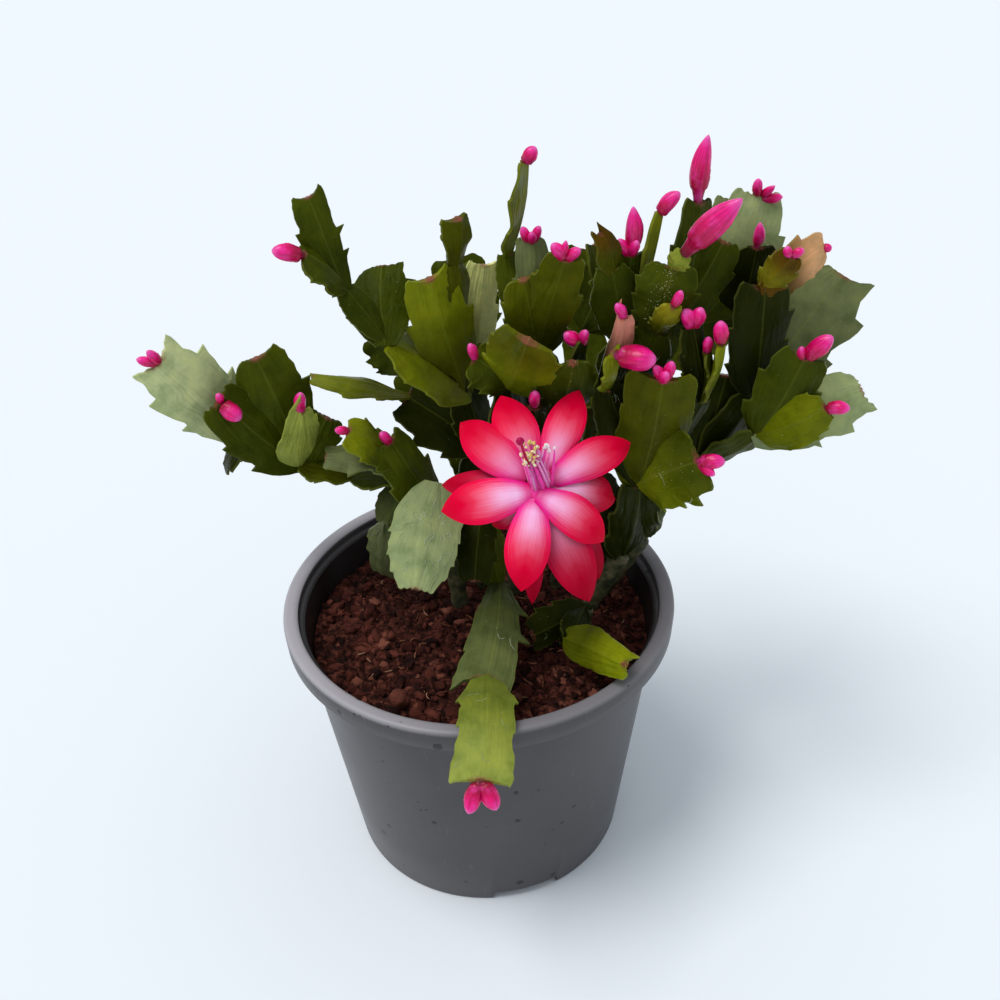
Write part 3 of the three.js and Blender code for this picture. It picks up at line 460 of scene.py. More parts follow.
# One large round clod lies near the front, on the left.
BALL_PLACE, BALL_RADIUS = (-24.5, -33.5), 3.1
CRUMB_COLOURS = [
    "1c0a07", "2c110c", "421c14", "481f18", "5a2c22", "5c2d24", "6e382c", "8e5544",
]
FIBRE_COLOURS = ["74442e", "5c3020", "96644a", "b08468"]

# The top of the pot's wall on the slope of its outside, and how far it lies below the rim's top.
WALL_TOP_RADIUS, WALL_TOP_DROP = 55, 2.8
NOTCH_ANGLES = (-76.5, 43.5, 163.5)
NOTCH_WIDTH, NOTCH_HEIGHT, NOTCH_LENGTH, NOTCH_RADIUS = 21, 3.4, 16, 44.2
DRAIN_HOLES, DRAIN_HOLE_RADIUS, DRAIN_CIRCLE_RADIUS = 6, 4.5, 29

# The camera that sees the part as it was photographed, in millimetres and degrees.
CAMERA_PLACE = Vector((0, -275.9, 312.8))
CAMERA_TARGET = Vector((7.65, 0, 123.8))
CAMERA_ROLL = -2.12
# The way the soft light from the upper left goes, and its colour.
LIGHT_COURSE = Vector((0.37, 0.12, -0.92))
LIGHT_COLOUR = (1, 0.985, 0.965)


# Sizes and colours that a user may change

def linear(value):
    """The linear colour, with alpha, of an sRGB hex value."""
    shares = [int(value[i:i + 2], 16) / 255 for i in (0, 2, 4)]
    return [s / 12.92 if s <= 0.04045 else ((s + 0.055) / 1.055) ** 2.4 for s in shares] + [1]


def shade(name, text, value):
    """A colour setting, given as a hex value."""
    return FloatVectorProperty(
        name=name, description=text, subtype="COLOR", size=4, min=0, max=1, default=linear(value))


def measure(name, text, metres):
    """A length setting."""
    return FloatProperty(
        name=name, description=text, default=metres, unit="LENGTH", subtype="DISTANCE")


class PotSettings(bpy.types.PropertyGroup):
    rim_radius: measure("Rim radius", "Outside of the rim", POT_BOX[1][0])
    height: measure("Height", "From the floor to the top of the rim", POT_BOX[1][2])
    foot_radius: measure("Foot radius", "Outside of the foot", 44.2 * MM)
    wall: measure("Wall", "Thickness of the plastic", 1.4 * MM)
    plastic: shade("Plastic", "Colour of the pot", "464345")


class SoilSettings(bpy.types.PropertyGroup):
    crumbs: IntProperty(
        name="Crumbs", description="Loose lumps on the surface", default=2200, min=0)
    fibres: IntProperty(
        name="Fibres", description="Loose fibres on the surface", default=130, min=0)
    crumb_size: measure("Crumb size", "Radius of a middling crumb", 0.95 * MM)
    dark: shade("Dark peat", "Colour of the deep soil", "120604")
    light: shade("Light peat", "Colour of the dry crumbs", "80493a")


class PadSettings(bpy.types.PropertyGroup):
    edge: measure("Edge", "Thickness at a pad's edge", 0.8 * MM)
    middle: measure("Middle", "Thickness at a pad's midrib", 2.8 * MM)
    wave: measure("Wave", "How far a pad's edges wave", 0.8 * MM)
    bristle: measure("Bristle", "Length of the bristles on a pad's tip", 1.1 * MM)
    lint: measure("Lint", "Thickness of a curl of lint", 0.13 * MM)


class FlowerSettings(bpy.types.PropertyGroup):
    petal_edge: measure("Petal edge", "Thickness at a petal's edge", 0.5 * MM)
    petal_middle: measure("Petal middle", "Thickness along a petal's middle", 1.3 * MM)
    filaments: IntProperty(name="Filaments", description="How many stamens", default=60, min=1)
    red: shade("Red", "Margins and tips of the petals", "e60034")
    white: shade("White", "Middle of the petals", "ffd2f8")
    magenta: shade("Magenta", "Throat of the flower, and the buds", "e6066c")


class StageSettings(bpy.types.PropertyGroup):
    floor: shade("Floor", "Colour of the floor", "eef3f8")
    sky: shade("Sky", "Colour of the light from all round", "f0f8ff")
    sky_strength: FloatProperty(
        name="Sky light", description="Strength of the light from all round", default=0.62)
    key: FloatProperty(
        name="Key light", description="Strength of the soft light from the left", default=1.66)
    softness: FloatProperty(
        name="Softness", description="How wide the key light is", default=math.radians(30),
        subtype="ANGLE")
    lens: FloatProperty(name="Lens", description="Focal length", default=41.4, unit="CAMERA")


# Helpers

def deselect():
    bpy.ops.object.select_all(action="DESELECT")


def only(obj):
    """Makes an object the one that the next operator works on."""
    deselect()
    obj.select_set(True)
    bpy.context.view_layer.objects.active = obj


@contextmanager
def editing(obj):
    """Opens an object in edit mode, and closes it again."""
    only(obj)
    bpy.ops.object.mode_set(mode="EDIT")
    yield
    bpy.ops.object.mode_set(mode="OBJECT")


def primitive(add, **settings):
    """Adds a primitive, with nothing else selected."""
    deselect()
    add(**settings)
    return bpy.context.object


def apply_modifier(obj, kind, **settings):
    """Adds a modifier with its settings and applies it."""
    only(obj)
    modifier = obj.modifiers.new(kind.title(), kind)
    for key, value in settings.items():
        setattr(modifier, key, value)
    bpy.ops.object.modifier_apply(modifier=modifier.name)


def coordinates(obj):
    points = np.empty(len(obj.data.vertices) * 3, dtype=np.float32)
    obj.data.vertices.foreach_get("co", points)
    return points.reshape(-1, 3).astype(float)


def placed(obj, points):
    """Moves the points of an object to other places."""
    obj.data.vertices.foreach_set("co", np.asarray(points, dtype=np.float32).ravel())


def tint(obj, colour, alpha=1.0):
    """Gives an object's points one colour or one each, and a share that is read as alpha."""
    if isinstance(colour, str):
        colour = linear(colour)
    values = np.empty((len(obj.data.vertices), 4), dtype=np.float32)
    values[:, :3] = np.asarray(colour, dtype=np.float32)[..., :3]
    values[:, 3] = alpha
    obj.data.color_attributes["tint"].data.foreach_set("color", values.ravel())


def copied(master, points, colour=None, alpha=1.0):
    """A copy of a master with its own mesh, its points in millimetres, and its colour."""
    obj = bpy.data.objects.new("copy", master.data.copy())
    bpy.context.collection.objects.link(obj)
    placed(obj, np.asarray(points, dtype=np.float32) * MM)
    if colour is not None:
        tint(obj, colour, alpha)
    return obj


def joined(objects):
    deselect()
    for obj in objects:
        obj.select_set(True)
    bpy.context.view_layer.objects.active = objects[0]
    if len(objects) > 1:
        bpy.ops.object.join()
    return objects[0]


def smoothed(obj, degrees):
    only(obj)
    bpy.ops.object.shade_smooth_by_angle(angle=math.radians(degrees))


def paintable(obj, degrees):
    """Smooths an object and gives it the layer that tint fills."""
    obj.data.color_attributes.new("tint", "FLOAT_COLOR", "POINT")
    smoothed(obj, degrees)
    return obj


def finished(objects, name, slot, *materials):
    """Joins like objects into one piece, gives it its materials and ties it to the part."""
    piece = joined(objects)
    piece.name = piece.data.name = name
    if materials:
        piece.data.materials.clear()
        for material in materials:
            piece.data.materials.append(material)
    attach(piece, "root")
    return piece


def dressed(objects, node, slot, *materials):
    """Finishes a piece that stands for a solid of the part."""
    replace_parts(finished(objects, node + "_dressed", slot, *materials), node)


def removed(*objects):
    for obj in objects:
        bpy.data.objects.remove(obj, do_unlink=True)


def blade_master(columns):
    """A flat blade in shares: x across, y along and z the face, each from -1 to 1."""
    blade = primitive(bpy.ops.mesh.primitive_grid_add, x_subdivisions=columns,
                      y_subdivisions=2 * OUTLINE_STEPS, size=2)
    apply_modifier(blade, "SOLIDIFY", thickness=2, offset=0)
    return paintable(blade, 60)


def round_master(segments, rings):
    """A round body in shares: it runs along Z from 0 to 1, and is 1 thick except at its ends."""
    body = primitive(
        bpy.ops.mesh.primitive_uv_sphere_add, segments=segments, ring_count=rings, radius=1)
    points = coordinates(body)
    along = 1 - np.arccos(np.clip(points[:, 2], -1, 1)) / math.pi
    angle = np.arctan2(points[:, 1], points[:, 0])
    inner = np.hypot(points[:, 0], points[:, 1]) > 1e-4
    placed(body, np.stack([np.cos(angle) * inner, np.sin(angle) * inner, along], axis=1))
    return paintable(body, 80)


def crumb_master(seed, fineness=2, roughness=0.75):
    """A broken lump of peat or bark, of radius 1."""
    lump = primitive(bpy.ops.mesh.primitive_ico_sphere_add, subdivisions=fineness, radius=1)
    offset = Vector((seed * 7, 0, 0))
    placed(lump, [point * (1 + roughness * noise.noise(Vector(point) * 1.5 + offset))
                  for point in coordinates(lump)])
    return paintable(lump, 70)


def lathe(profile, steps):
    """Spins an open profile of radius and height pairs, in millimetres, round the Z axis."""
    obj = primitive(bpy.ops.mesh.primitive_circle_add, vertices=len(profile), radius=1)
    placed(obj, [(radius * MM, 0, height * MM) for radius, height in profile])
    with editing(obj):
        bpy.ops.mesh.select_all(action="SELECT")
        bpy.ops.mesh.spin(steps=steps, angle=math.tau, center=(0, 0, 0), axis=(0, 0, 1))
        bpy.ops.mesh.select_all(action="SELECT")
        bpy.ops.mesh.remove_doubles(threshold=0.01 * MM)
        bpy.ops.mesh.normals_make_consistent(inside=False)
    return obj


def turn_towards(direction):
    """The turn that takes +Z to a direction."""
    return Vector((0, 0, 1)).rotation_difference(direction.normalized()).to_matrix()


def stood_on(points, place, direction):
    """Points turned from +Z to a direction, and moved to a place."""
    return points @ np.array(turn_towards(direction)).T + np.array(place)


def laid_from(start, *parts):
    """Points that lie at distances from a start, each list of distances along a direction."""
    return np.array(start) + sum(np.outer(distance, way) for distance, way in parts)


def along_line(share, marks, places):
    """Points on a line of places, found by their shares between its marks."""
    return np.stack([np.interp(share, marks, axis) for axis in np.array(places).T], axis=1)


# Nodes and finishes

# How a Mix node blends two colours or multiplies them, how a Math node scales a share, and where
# a piece's own colour is read.
BLEND = {"data_type": "RGBA"}
TIMES = {"data_type": "RGBA", "blend_type": "MULTIPLY"}
SCALE = {"operation": "MULTIPLY", "use_clamp": True}
OWN = {"attribute_name": "tint"}


def colour_of(value):
    """A colour with alpha, from a hex value, a grey share or the shares of a colour."""
    if isinstance(value, str):
        return linear(value)
    return (*value[:3], 1) if hasattr(value, "__len__") else (value, value, value, 1)


def add_node(tree, kind, *values, out=None, ramp=(), **settings):
    """Adds a node and gives its output, the named one or the first.

    The values go to its open sockets in their order. A setting with a capital is a socket, with _
    for a space, and the others are the node's own. A socket takes a value, a hex colour or the
    output of another node, and a ramp has places with colours or greys.
    """
    node = tree.nodes.new("ShaderNode" + kind)
    for key, value in settings.items():
        if key[0].islower():
            setattr(node, key, value)
    sockets = [socket for socket in node.inputs if socket.enabled]
    named = {socket.name: socket for socket in sockets}
    filled = list(zip(sockets, values))
    filled += [(named[key.replace("_", " ")], value)
               for key, value in settings.items() if key[0].isupper()]
    for socket, value in filled:
        if isinstance(value, bpy.types.NodeSocket):
            tree.links.new(value, socket)
        else:
            socket.default_value = linear(value) if isinstance(value, str) else value
    if ramp:
        stops = node.color_ramp.elements
        while len(stops) < len(ramp):
            stops.new(1)
        for stop, (place, value) in zip(stops, ramp):
            stop.position, stop.color = place, colour_of(value)
    if out:
        return node.outputs[out]
    return next((output for output in node.outputs if output.enabled), None)


def new_material(name):
    """An empty material, and what adds a node to it."""
    material = bpy.data.materials.new(name)
    material.use_nodes = True
    material.node_tree.nodes.clear()
    return material, partial(add_node, material.node_tree)


def shaded(material, add, **sockets):
    """Ends a material with its shader and its output."""
    add("OutputMaterial", add("BsdfPrincipled", **sockets))
    return material


def speckles(add, place, per_metre, share, gathered):
    """Scattered dots: 1 inside a dot and 0 outside, gathered in loose groups."""
    cells = add("TexVoronoi", place, Scale=per_metre)
    groups = add("TexNoise", place, Scale=gathered, Detail=2)
    limit = add("Math", add("MapRange", groups, 0.4, 0.66, 0, share), share * 0.5, operation="ADD")
    rough = add("TexNoise", place, Scale=per_metre * 5)
    ragged_cells = add("Math", rough, share, cells, operation="MULTIPLY_ADD")
    return add("Math", ragged_cells, limit, operation="LESS_THAN")


def streaks(add, place, stretch, detail):
    """Noise that is drawn out one way."""
    return add("TexNoise", add("Mapping", place, Scale=stretch), Scale=1, Detail=detail)


def grained(add, place, strength, depth, under=None, **grain):
    """A rough surface of a depth in millimetres, over the one under it."""
    below = {} if under is None else {"Normal": under}
    return add("Bump", Height=add("TexNoise", place, **grain), Strength=strength,
               Distance=depth * MM, **below)


def edge_share(add, uv):
    """How far out across a blade a point lies, from 0 at its middle to 1 at its edge."""
    aside = add("Math", add("SeparateXYZ", uv, out="X"), 0.5, operation="SUBTRACT")
    return add("Math", add("Math", aside, operation="ABSOLUTE"), 2, operation="MULTIPLY")


def plastic_material(settings):
    """Recycled polypropylene, thin and pressed: an even satin grey with scuffs and soil, a rim
    lightened by painted highlights on its top and left, and an inside darkened partly by soil dirt
    and partly by painted shade.
    """
    material, add = new_material("grey_polypropylene")
    place = add("TexCoord", out="Object")
    height = add("SeparateXYZ", place, out="Z")
    cloud = add("TexNoise", place, Scale=45, Detail=6)
    skin = add("ValToRGB", cloud, ramp=[
        (0.3, [share * 0.86 for share in settings.plastic]),
        (0.7, [share * 1.14 for share in settings.plastic])])
    # The top of the rim is lighter, a painted highlight from the light above, and lighter still on
    # its left, a painted highlight from the key light on the left.
    top = add("MapRange", height, settings.height - 1.6 * MM, settings.height - 0.3 * MM)
    skin = add("Mix", add("Math", top, 0.85, **SCALE), skin, "7f7c80", **BLEND)
    left = add("MapRange", add("SeparateXYZ", place, out="X"), 5 * MM, -50 * MM)
    painted_left_highlight = add("Math", left, top, operation="MULTIPLY")
    skin = add("Mix", add("Math", painted_left_highlight, 0.8, **SCALE), skin, "b6b1b7", **BLEND)
    # The inside of the wall is darker, partly soil dirt and partly painted shade: it lies nearer
    # the middle than the outside's cone does.
    reach = add("VectorMath", add("Mapping", place, Scale=(1, 1, 0)), operation="LENGTH")
    slope = (WALL_TOP_RADIUS * MM - settings.foot_radius) / (settings.height - WALL_TOP_DROP * MM)
    cone = add("Math", height, -slope, reach, operation="MULTIPLY_ADD")
    inside = add("Math", cone, settings.foot_radius - 0.7 * MM, operation="LESS_THAN")
    dirt_and_shade = add("MapRange", cloud, 0.35, 0.65, 0.98, 0.75)
    skin = add("Mix", add("Math", inside, dirt_and_shade, operation="MULTIPLY"), skin, "150e0c", **BLEND)
    # Splashes of soil up to 1 mm across and 9 mm apart, with finer ones between.
    for per_metre, share, gathered, strength, soil in (
            (150, 0.2, 60, 0.9, "17110f"), (330, 0.12, 40, 0.7, "1f1714")):
        dots = speckles(add, place, per_metre, share, gathered)
        skin = add("Mix", add("Math", dots, strength, **SCALE), skin, soil, **BLEND)
    # Fine upright rubs from stacking, a few tenths of a millimetre wide.
    rubs = add("ValToRGB", streaks(add, place, (900, 900, 40), 2), ramp=[(0.66, 0), (0.8, 1)])
    skin = add("Mix", add("Math", rubs, 0.22, **SCALE), skin, "7e7d80", **BLEND)
    return shaded(
        material, add, Base_Color=skin, Roughness=add("MapRange", cloud, To_Min=0.28, To_Max=0.46),
        Normal=grained(add, place, 0.12, 0.05, Scale=1400, Detail=2), IOR=1.49,
        Specular_IOR_Level=0.3)


def soil_material(dark, light):
    """Peat and composted bark: dull, dark and crumbly, with rust brown lumps."""
    material, add = new_material("peat_and_bark")
    place = add("TexCoord", out="Object")
    lump = add("TexNoise", place, Scale=420, Detail=8, Roughness=0.7)
    shades = add("ValToRGB", lump, ramp=[(0.38, dark), (0.5, "3c1a13"), (0.66, light)])
    share, own = add("Attribute", out="Alpha", **OWN), add("Attribute", **OWN)
    skin = add("Mix", share, shades, own, **BLEND)
    # Damp and dry patches, about 15 mm across.
    patch = add("TexNoise", place, Scale=65, Detail=3)
    damp = add("ValToRGB", patch, ramp=[(0.35, (0.7, 0.66, 0.64)), (0.62, 1.1)])
    return shaded(
        material, add, Base_Color=add("Mix", 1, skin, damp, **TIMES), Roughness=0.9,
        Normal=grained(add, place, 1, 0.8, Scale=1100, Detail=6, Roughness=0.65),
        Specular_IOR_Level=0.15)


def pad_material():
    """Waxy cactus skin: satin, with a faint midrib, a thin pale edge, blotches and dry specks."""
    material, add = new_material("waxy_cactus_skin")
    place, uv = add("TexCoord", out="Object"), add("UVMap")
    out = edge_share(add, uv)
    # Blotches about 6 mm across, with finer ones inside them.
    blotch = add("TexNoise", place, Scale=160, Detail=6, Roughness=0.6)
    depth = add("ValToRGB", blotch, ramp=[
        (0.34, (0.72, 0.77, 0.7)), (0.5, 1), (0.68, (1.24, 1.18, 1.08))])
    skin = add("Mix", 1, add("Attribute", **OWN), depth, **TIMES)
    # The midrib is about a twentieth of the width, and the edge is a thin pale line.
    for ramp, pale in (([(0, 0.14), (0.055, 0)], "8d9440"), ([(0.965, 0), (1, 0.24)], "868a3c")):
        skin = add("Mix", add("ValToRGB", out, ramp=ramp), skin, pale, **BLEND)
    # The areole at the tip is corky, pinkish brown and about 3 mm wide.
    tip = add("MapRange", add("SeparateXYZ", uv, out="Y"), 0.975, 1)
    cork = add("Math", tip, add("MapRange", out, 0.6, 0.1), operation="MULTIPLY")
    patchy = add("Math", cork, add("TexNoise", place, Scale=700, Detail=4), operation="MULTIPLY")
    skin = add("Mix", add("Math", patchy, 1.6, **SCALE), skin, "864a3c", **BLEND)
    # Dry specks a fifth of a millimetre across.
    dry = add("Math", speckles(add, place, 420, 0.07, 90), 0.35, **SCALE)
    skin = add("Mix", dry, skin, "a9ac84", **BLEND)
    # Shallow folds 2 to 4 mm apart run along the pad, no two pads alike.
    shifted = add("VectorMath", place, (40, 40, 40), add("Mapping", uv, Scale=(6, 1.8, 1)),
                  operation="MULTIPLY_ADD")
    folded = grained(add, shifted, 0.55, 1.6, Scale=1, Detail=3, Distortion=0.5)
    # Low swellings about 8 mm across, and a fine grain.
    swollen = grained(add, place, 0.6, 1.2, folded, Scale=120, Detail=1)
    return shaded(
        material, add, Base_Color=skin, Roughness=add("MapRange", blotch, 0.3, 0.7, 0.3, 0.48),
        Normal=grained(add, place, 0.25, 0.2, swollen, Scale=700, Detail=4),
        Specular_IOR_Level=0.08, Specular_Tint="dcecb0", Subsurface_Weight=0.1,
        Subsurface_Radius=(0.6, 1.0, 0.1), Subsurface_Scale=1.2 * MM)


def bark_material():
    """The woody foot of an old stem: dull grey brown cork with green showing through."""
    material, add = new_material("corky_stem")
    cork = add("TexNoise", add("TexCoord", out="Object"), Scale=380, Detail=6)
    shades = add("ValToRGB", cork, ramp=[(0.35, "20260e"), (0.5, "3f4020"), (0.7, "6a6142")])
    return shaded(material, add, Base_Color=shades, Roughness=0.7,
                  Normal=add("Bump", Height=cork, Strength=0.6, Distance=0.5 * MM))


def bristle_material():
    """The soft brown bristles on the tips of the pads."""
    material, add = new_material("areole_bristle")
    hairs = add("TexNoise", add("TexCoord", out="Object"), Scale=900)
    shades = add("ValToRGB", hairs, ramp=[(0.35, "7a4436"), (0.65, "c99a86")])
    return shaded(material, add, Base_Color=shades, Roughness=0.8)


def bud_material(magenta):
    """The skin of a bud: waxy petals wrapped tight, dark at the neck and pink to the tip."""
    material, add = new_material("waxy_bud_petals")
    place, uv = add("TexCoord", out="Object"), add("UVMap")
    base = add("ValToRGB", add("SeparateXYZ", uv, out="Y"), ramp=[
        (0.02, "5a1a1a"), (0.14, "961a3c"), (0.24, "b00640"), (0.38, "be004c"), (0.6, magenta),
        (0.85, "f81c90"), (1, "ff70c8")])
    # Paler, bluer patches about 3 mm across.
    patch = add("TexNoise", place, Scale=300, Detail=2)
    flush = add("ValToRGB", patch, ramp=[(0.5, 0), (0.7, 0.5)])
    flushed = add("Mix", flush, base, "ff48b4", **BLEND)
    # Streaks a third of a millimetre wide run along the petals.
    tone = add("ValToRGB", streaks(add, uv, (26, 2.2, 1), 4), ramp=[
        (0.3, (0.6, 0.36, 0.46)), (0.58, 1)])
    return shaded(
        material, add, Base_Color=add("Mix", 1, flushed, tone, **TIMES), Roughness=0.3,
        Normal=grained(add, place, 0.3, 0.25, Scale=900, Detail=3), Specular_IOR_Level=0.3,
        Subsurface_Weight=0.1, Subsurface_Radius=(1.0, 0.2, 0.4), Subsurface_Scale=0.8 * MM)


def petal_material(settings):
    """A soft petal: red at its edges and tip, lilac white inside them, magenta at its foot."""
    material, add = new_material("cactus_petal")
    uv = add("UVMap")
    along = add("SeparateXYZ", uv, out="Y")
    # Streaks about a third of a millimetre wide run along the petal.
    streak = streaks(add, uv, (30, 2.5, 1), 5)
    shift = add("Math", streak, 0.9, -0.45, operation="MULTIPLY_ADD")
    out = add("Math", edge_share(add, uv), shift, operation="ADD")
    lengthways = add("ValToRGB", along, ramp=[
        (0.04, 0.25), (0.14, 1), (0.3, 0.84), (0.45, 0.36), (0.6, 0.06), (0.72, 0)])
    white = add("Math", add("MapRange", out, 0.85, 0.1), lengthways, operation="MULTIPLY")
    paler = add("Math", white, add("Attribute", out="Alpha", **OWN), **SCALE)
    red = add("ValToRGB", along, ramp=[
        (0.02, "f21694"), (0.14, "ff30a0"), (0.28, "ff2a70"), (0.46, "fc0c48"),
        (0.8, settings.red)])
    # Painted shade: a petal further back is a darker red.
    painted_shade_red = add("Mix", 1, red, add("Attribute", **OWN), **TIMES)
    body = add("Mix", paler, painted_shade_red, settings.white, **BLEND)
    tone = add("ValToRGB", streak, ramp=[(0.28, (1, 0.8, 0.85)), (0.6, 1)])
    return shaded(
        material, add, Base_Color=add("Mix", 1, body, tone, **TIMES), Roughness=0.45,
        Normal=add("Bump", Height=streak, Strength=0.25, Distance=0.2 * MM),
        Specular_IOR_Level=0.03, Subsurface_Weight=0.08, Subsurface_Radius=(1.0, 0.2, 0.3),
        Subsurface_Scale=1.2 * MM)


def tinted_material(name, roughness):
    """A soft piece of the flower, or lint, that carries its own colours point by point."""
    material, add = new_material(name)
    grain = add("TexNoise", add("TexCoord", out="Object"), Scale=1200, Detail=3)
    tone = add("ValToRGB", grain, ramp=[(0.3, (0.8, 0.78, 0.74)), (0.6, 1)])
    return shaded(
        material, add, Base_Color=add("Mix", 1, add("Attribute", **OWN), tone, **TIMES),
        Roughness=roughness, Specular_IOR_Level=0.15, Subsurface_Weight=0.5,
        Subsurface_Radius=(1.0, 0.5, 0.7), Subsurface_Scale=0.8 * MM)


def floor_material(colour):
    """A matt paper sweep with a very faint tooth."""
    material, add = new_material("paper_sweep")
    tooth = grained(add, add("TexCoord", out="Object"), 0.05, 0.1, Scale=900, Detail=2)
    return shaded(material, add, Base_Color=colour, Normal=tooth, Roughness=0.9,
                  Specular_IOR_Level=0.1)


# Pads

def read_stems():
    """The segments of every stem, with start, tip, width, turn, arch, kind, skins and outlines."""
    stems = {}
    for stem, text in STEM_ROWS.items():
        (prefix, *middle), *rows = (line.split() for line in text.splitlines())
        tips = {"root": Vector((*map(float, middle), SOIL_LEVEL))}
        parents = {row[1] for row in rows}
        stems[stem] = []
        for own, parent, *words in rows:
            x, y, z, width, turn = map(float, words[:5])
            tips[own] = Vector((x, y, z))
            name, ends = f"{prefix}_{own}", own not in parents
            stems[stem].append({
                "name": name, "start": tips[parent], "tip": tips[own], "width": width,
                "turn": turn, "arch": ARCHES.get(name, COMMON_ARCH), "ends": ends,
                "toothed": ends or width >= TOOTHED_WIDTH, "woody": parent == "root",
                "skins": [word for word in words[5:] if "/" not in word],
                "sides": [side for word in words[5:] if "/" in word for side in word.split("/")],
            })
    return stems


STEMS = read_stems()
PADS = {pad["name"]: pad for pads in STEMS.values() for pad in pads}


def pad_directions(pad):
    """Along a pad, across it and out of its face."""
    along = (pad["tip"] - pad["start"]).normalized()
    facing = UP if abs(along.dot(FRONT)) > 0.95 else FRONT
    face = (facing - along * facing.dot(along)).normalized()
    face = Quaternion(along, math.radians(pad["turn"])) @ face
    return along, along.cross(face), face


def side_at(side, share):
    """Where a side is at a share of its steps: how far along, and how far out."""
    steps = np.linspace(0, 1, len(side))
    return [np.interp(share, steps, values) for values in np.array(side).T]


def blade_shares(points, left, right, middle_end, row_bow):
    """Lays a flat master's points on its sides: how far along and across each one is."""
    share, across = (points[:, 1] + 1) / 2, points[:, 0]
    edge_along, edge_out = np.where(across < 0, side_at(left, share), side_at(right, share))
    middle = middle_end * share
    return middle + (edge_along - middle) * np.abs(across) ** row_bow, across * edge_out


def ragged(side, chance):
    """A side with each of its points moved a little, along and out."""
    return [
        (along + chance.uniform(-RAGGED_ALONG, RAGGED_ALONG), out * chance.uniform(*RAGGED_OUT))
        for along, out in SIDES[side]]


def pad_places(points, pad, settings):
    """Bends a flat master into a pad, in millimetres."""
    chance = random.Random(pad["name"])
    sides = pad["sides"] or (chance.choice(COMMON_SIDES) if pad["toothed"] else WORN_SIDES)
    left, right = (ragged(side, chance) for side in sides)
    u, v = blade_shares(points, left, right, TIP_MIDDLE, ROW_BOW)
    t = np.abs(points[:, 0])
    lobes = np.abs(np.sin(TIP_LOBES * math.pi * t + chance.uniform(0, 1)))
    u = u + LOBE_HEIGHT * ((points[:, 1] + 1) / 2) ** LOBE_FADE * lobes
    length, width = (pad["tip"] - pad["start"]).length, pad["width"]
    reach = u * length - PAD_SINK * np.clip(1 - u / SINK_SHARE, 0, 1)
    edge, middle = settings.edge / MM / 2, settings.middle / MM / 2
    rib = RIB_SHARE * np.exp(-(t / RIB_WIDTH) ** 2)
    half = edge + (middle - edge) * ((1 - RIB_SHARE) * (1 - t ** SWELLING) + rib)
    half *= 1 - THINNING * np.clip(u - THINS_FROM, 0, 1)
    phase, turns = chance.uniform(0, FULL_TURN), chance.uniform(*PAD_WAVES)
    turn = FULL_TURN * turns * u + phase + np.where(points[:, 0] < 0, SIDES_APART, 0)
    wave = settings.wave / MM * (width / COMMON_WIDTH) * t ** 2 * np.sin(turn)
    hump = np.sin(math.pi * np.clip(u, 0, 1))
    lift = pad["arch"] * hump - PAD_CUP * width * v * v + wave + points[:, 2] * half
    bow = chance.uniform(-PAD_BOW, PAD_BOW) * length * hump
    along, across, face = pad_directions(pad)
    return laid_from(pad["start"], (reach, along), (v * width / 2 + bow, across), (lift, face))


def rod_places(points, spine, radius, side, other):
    """Lays a round master along a line of places, as thick as its radius at each."""
    return laid_from(spine, (points[:, 0] * radius, side), (points[:, 1] * radius, other))


def stalk_places(points, pad):
    """Bends a round master into the woody foot of a stem, with a few swollen rings."""
    start, u = pad["start"], points[:, 2]
    spine = along_line(u, [0, STALK_IN_SOIL, 1], [
        start - UP * STALK_DEPTH, start, start + (pad["tip"] - start) * STALK_REACH])
    radius = np.interp(u, [STALK_IN_SOIL, 1], [STALK_RADIUS, pad["width"] / 2])
    radius = radius * (1 + RING_HEIGHT * np.sin(u * STALK_RINGS)) * np.where(u > 0.97, 0.8, 1)
    _, across, face = pad_directions(pad)
    return rod_places(points, spine, radius, across, face * STALK_FLATNESS)


def pad_colours(pad, share, chance):
    """A pad's own colour at each share of its length: one skin, or one that turns to another,
    darkened towards its foot by painted shade.
    """
    common = chance.choice(COMMON_SKINS)
    skins = pad["skins"] or [common]
    first, last = (np.array(linear(SKINS[skin])[:3]) for skin in (skins[0], skins[-1]))
    turned = np.clip((share - TURNS_FROM) / TURNS_OVER, 0, 1)[:, None]
    turned = turned * turned * (3 - 2 * turned)
    # Painted shade: darker at the foot, lighter towards the tip.
    light = PAINTED_FOOT_SHADE + PAINTED_TIP_GAIN * np.clip(share, 0, 1)[:, None]
    return (first + (last - first) * turned) * light * chance.uniform(*LIGHT_SPREAD)


def tip_seat(pad, depth):
    """The middle of a pad's tip, or a little below it."""
    along = pad_directions(pad)[0]
    return pad["tip"] - along * ((1 - TIP_MIDDLE) * (pad["tip"] - pad["start"]).length + depth)


def bristle_tuft(master, points, pad, length, chance):
    """A few soft bristles that stand in the notch at a pad's tip."""
    along, across, face = pad_directions(pad)
    reach = min(TUFT_REACH, TUFT_SHARE * pad["width"])
    tuft = []
    for _ in range(BRISTLES):
        seat = (tip_seat(pad, 0.3) + across * chance.uniform(-reach, reach)
                + face * chance.uniform(-0.5, 0.5))
        lean = (along + across * chance.uniform(-BRISTLE_LEAN, BRISTLE_LEAN)
                + face * chance.uniform(-BRISTLE_LEAN, BRISTLE_LEAN))
        size = (BRISTLE_RADIUS, BRISTLE_RADIUS, length * chance.uniform(0.5, 1.2))
        tuft.append(copied(master, stood_on(points * size, seat, lean)))
    return tuft


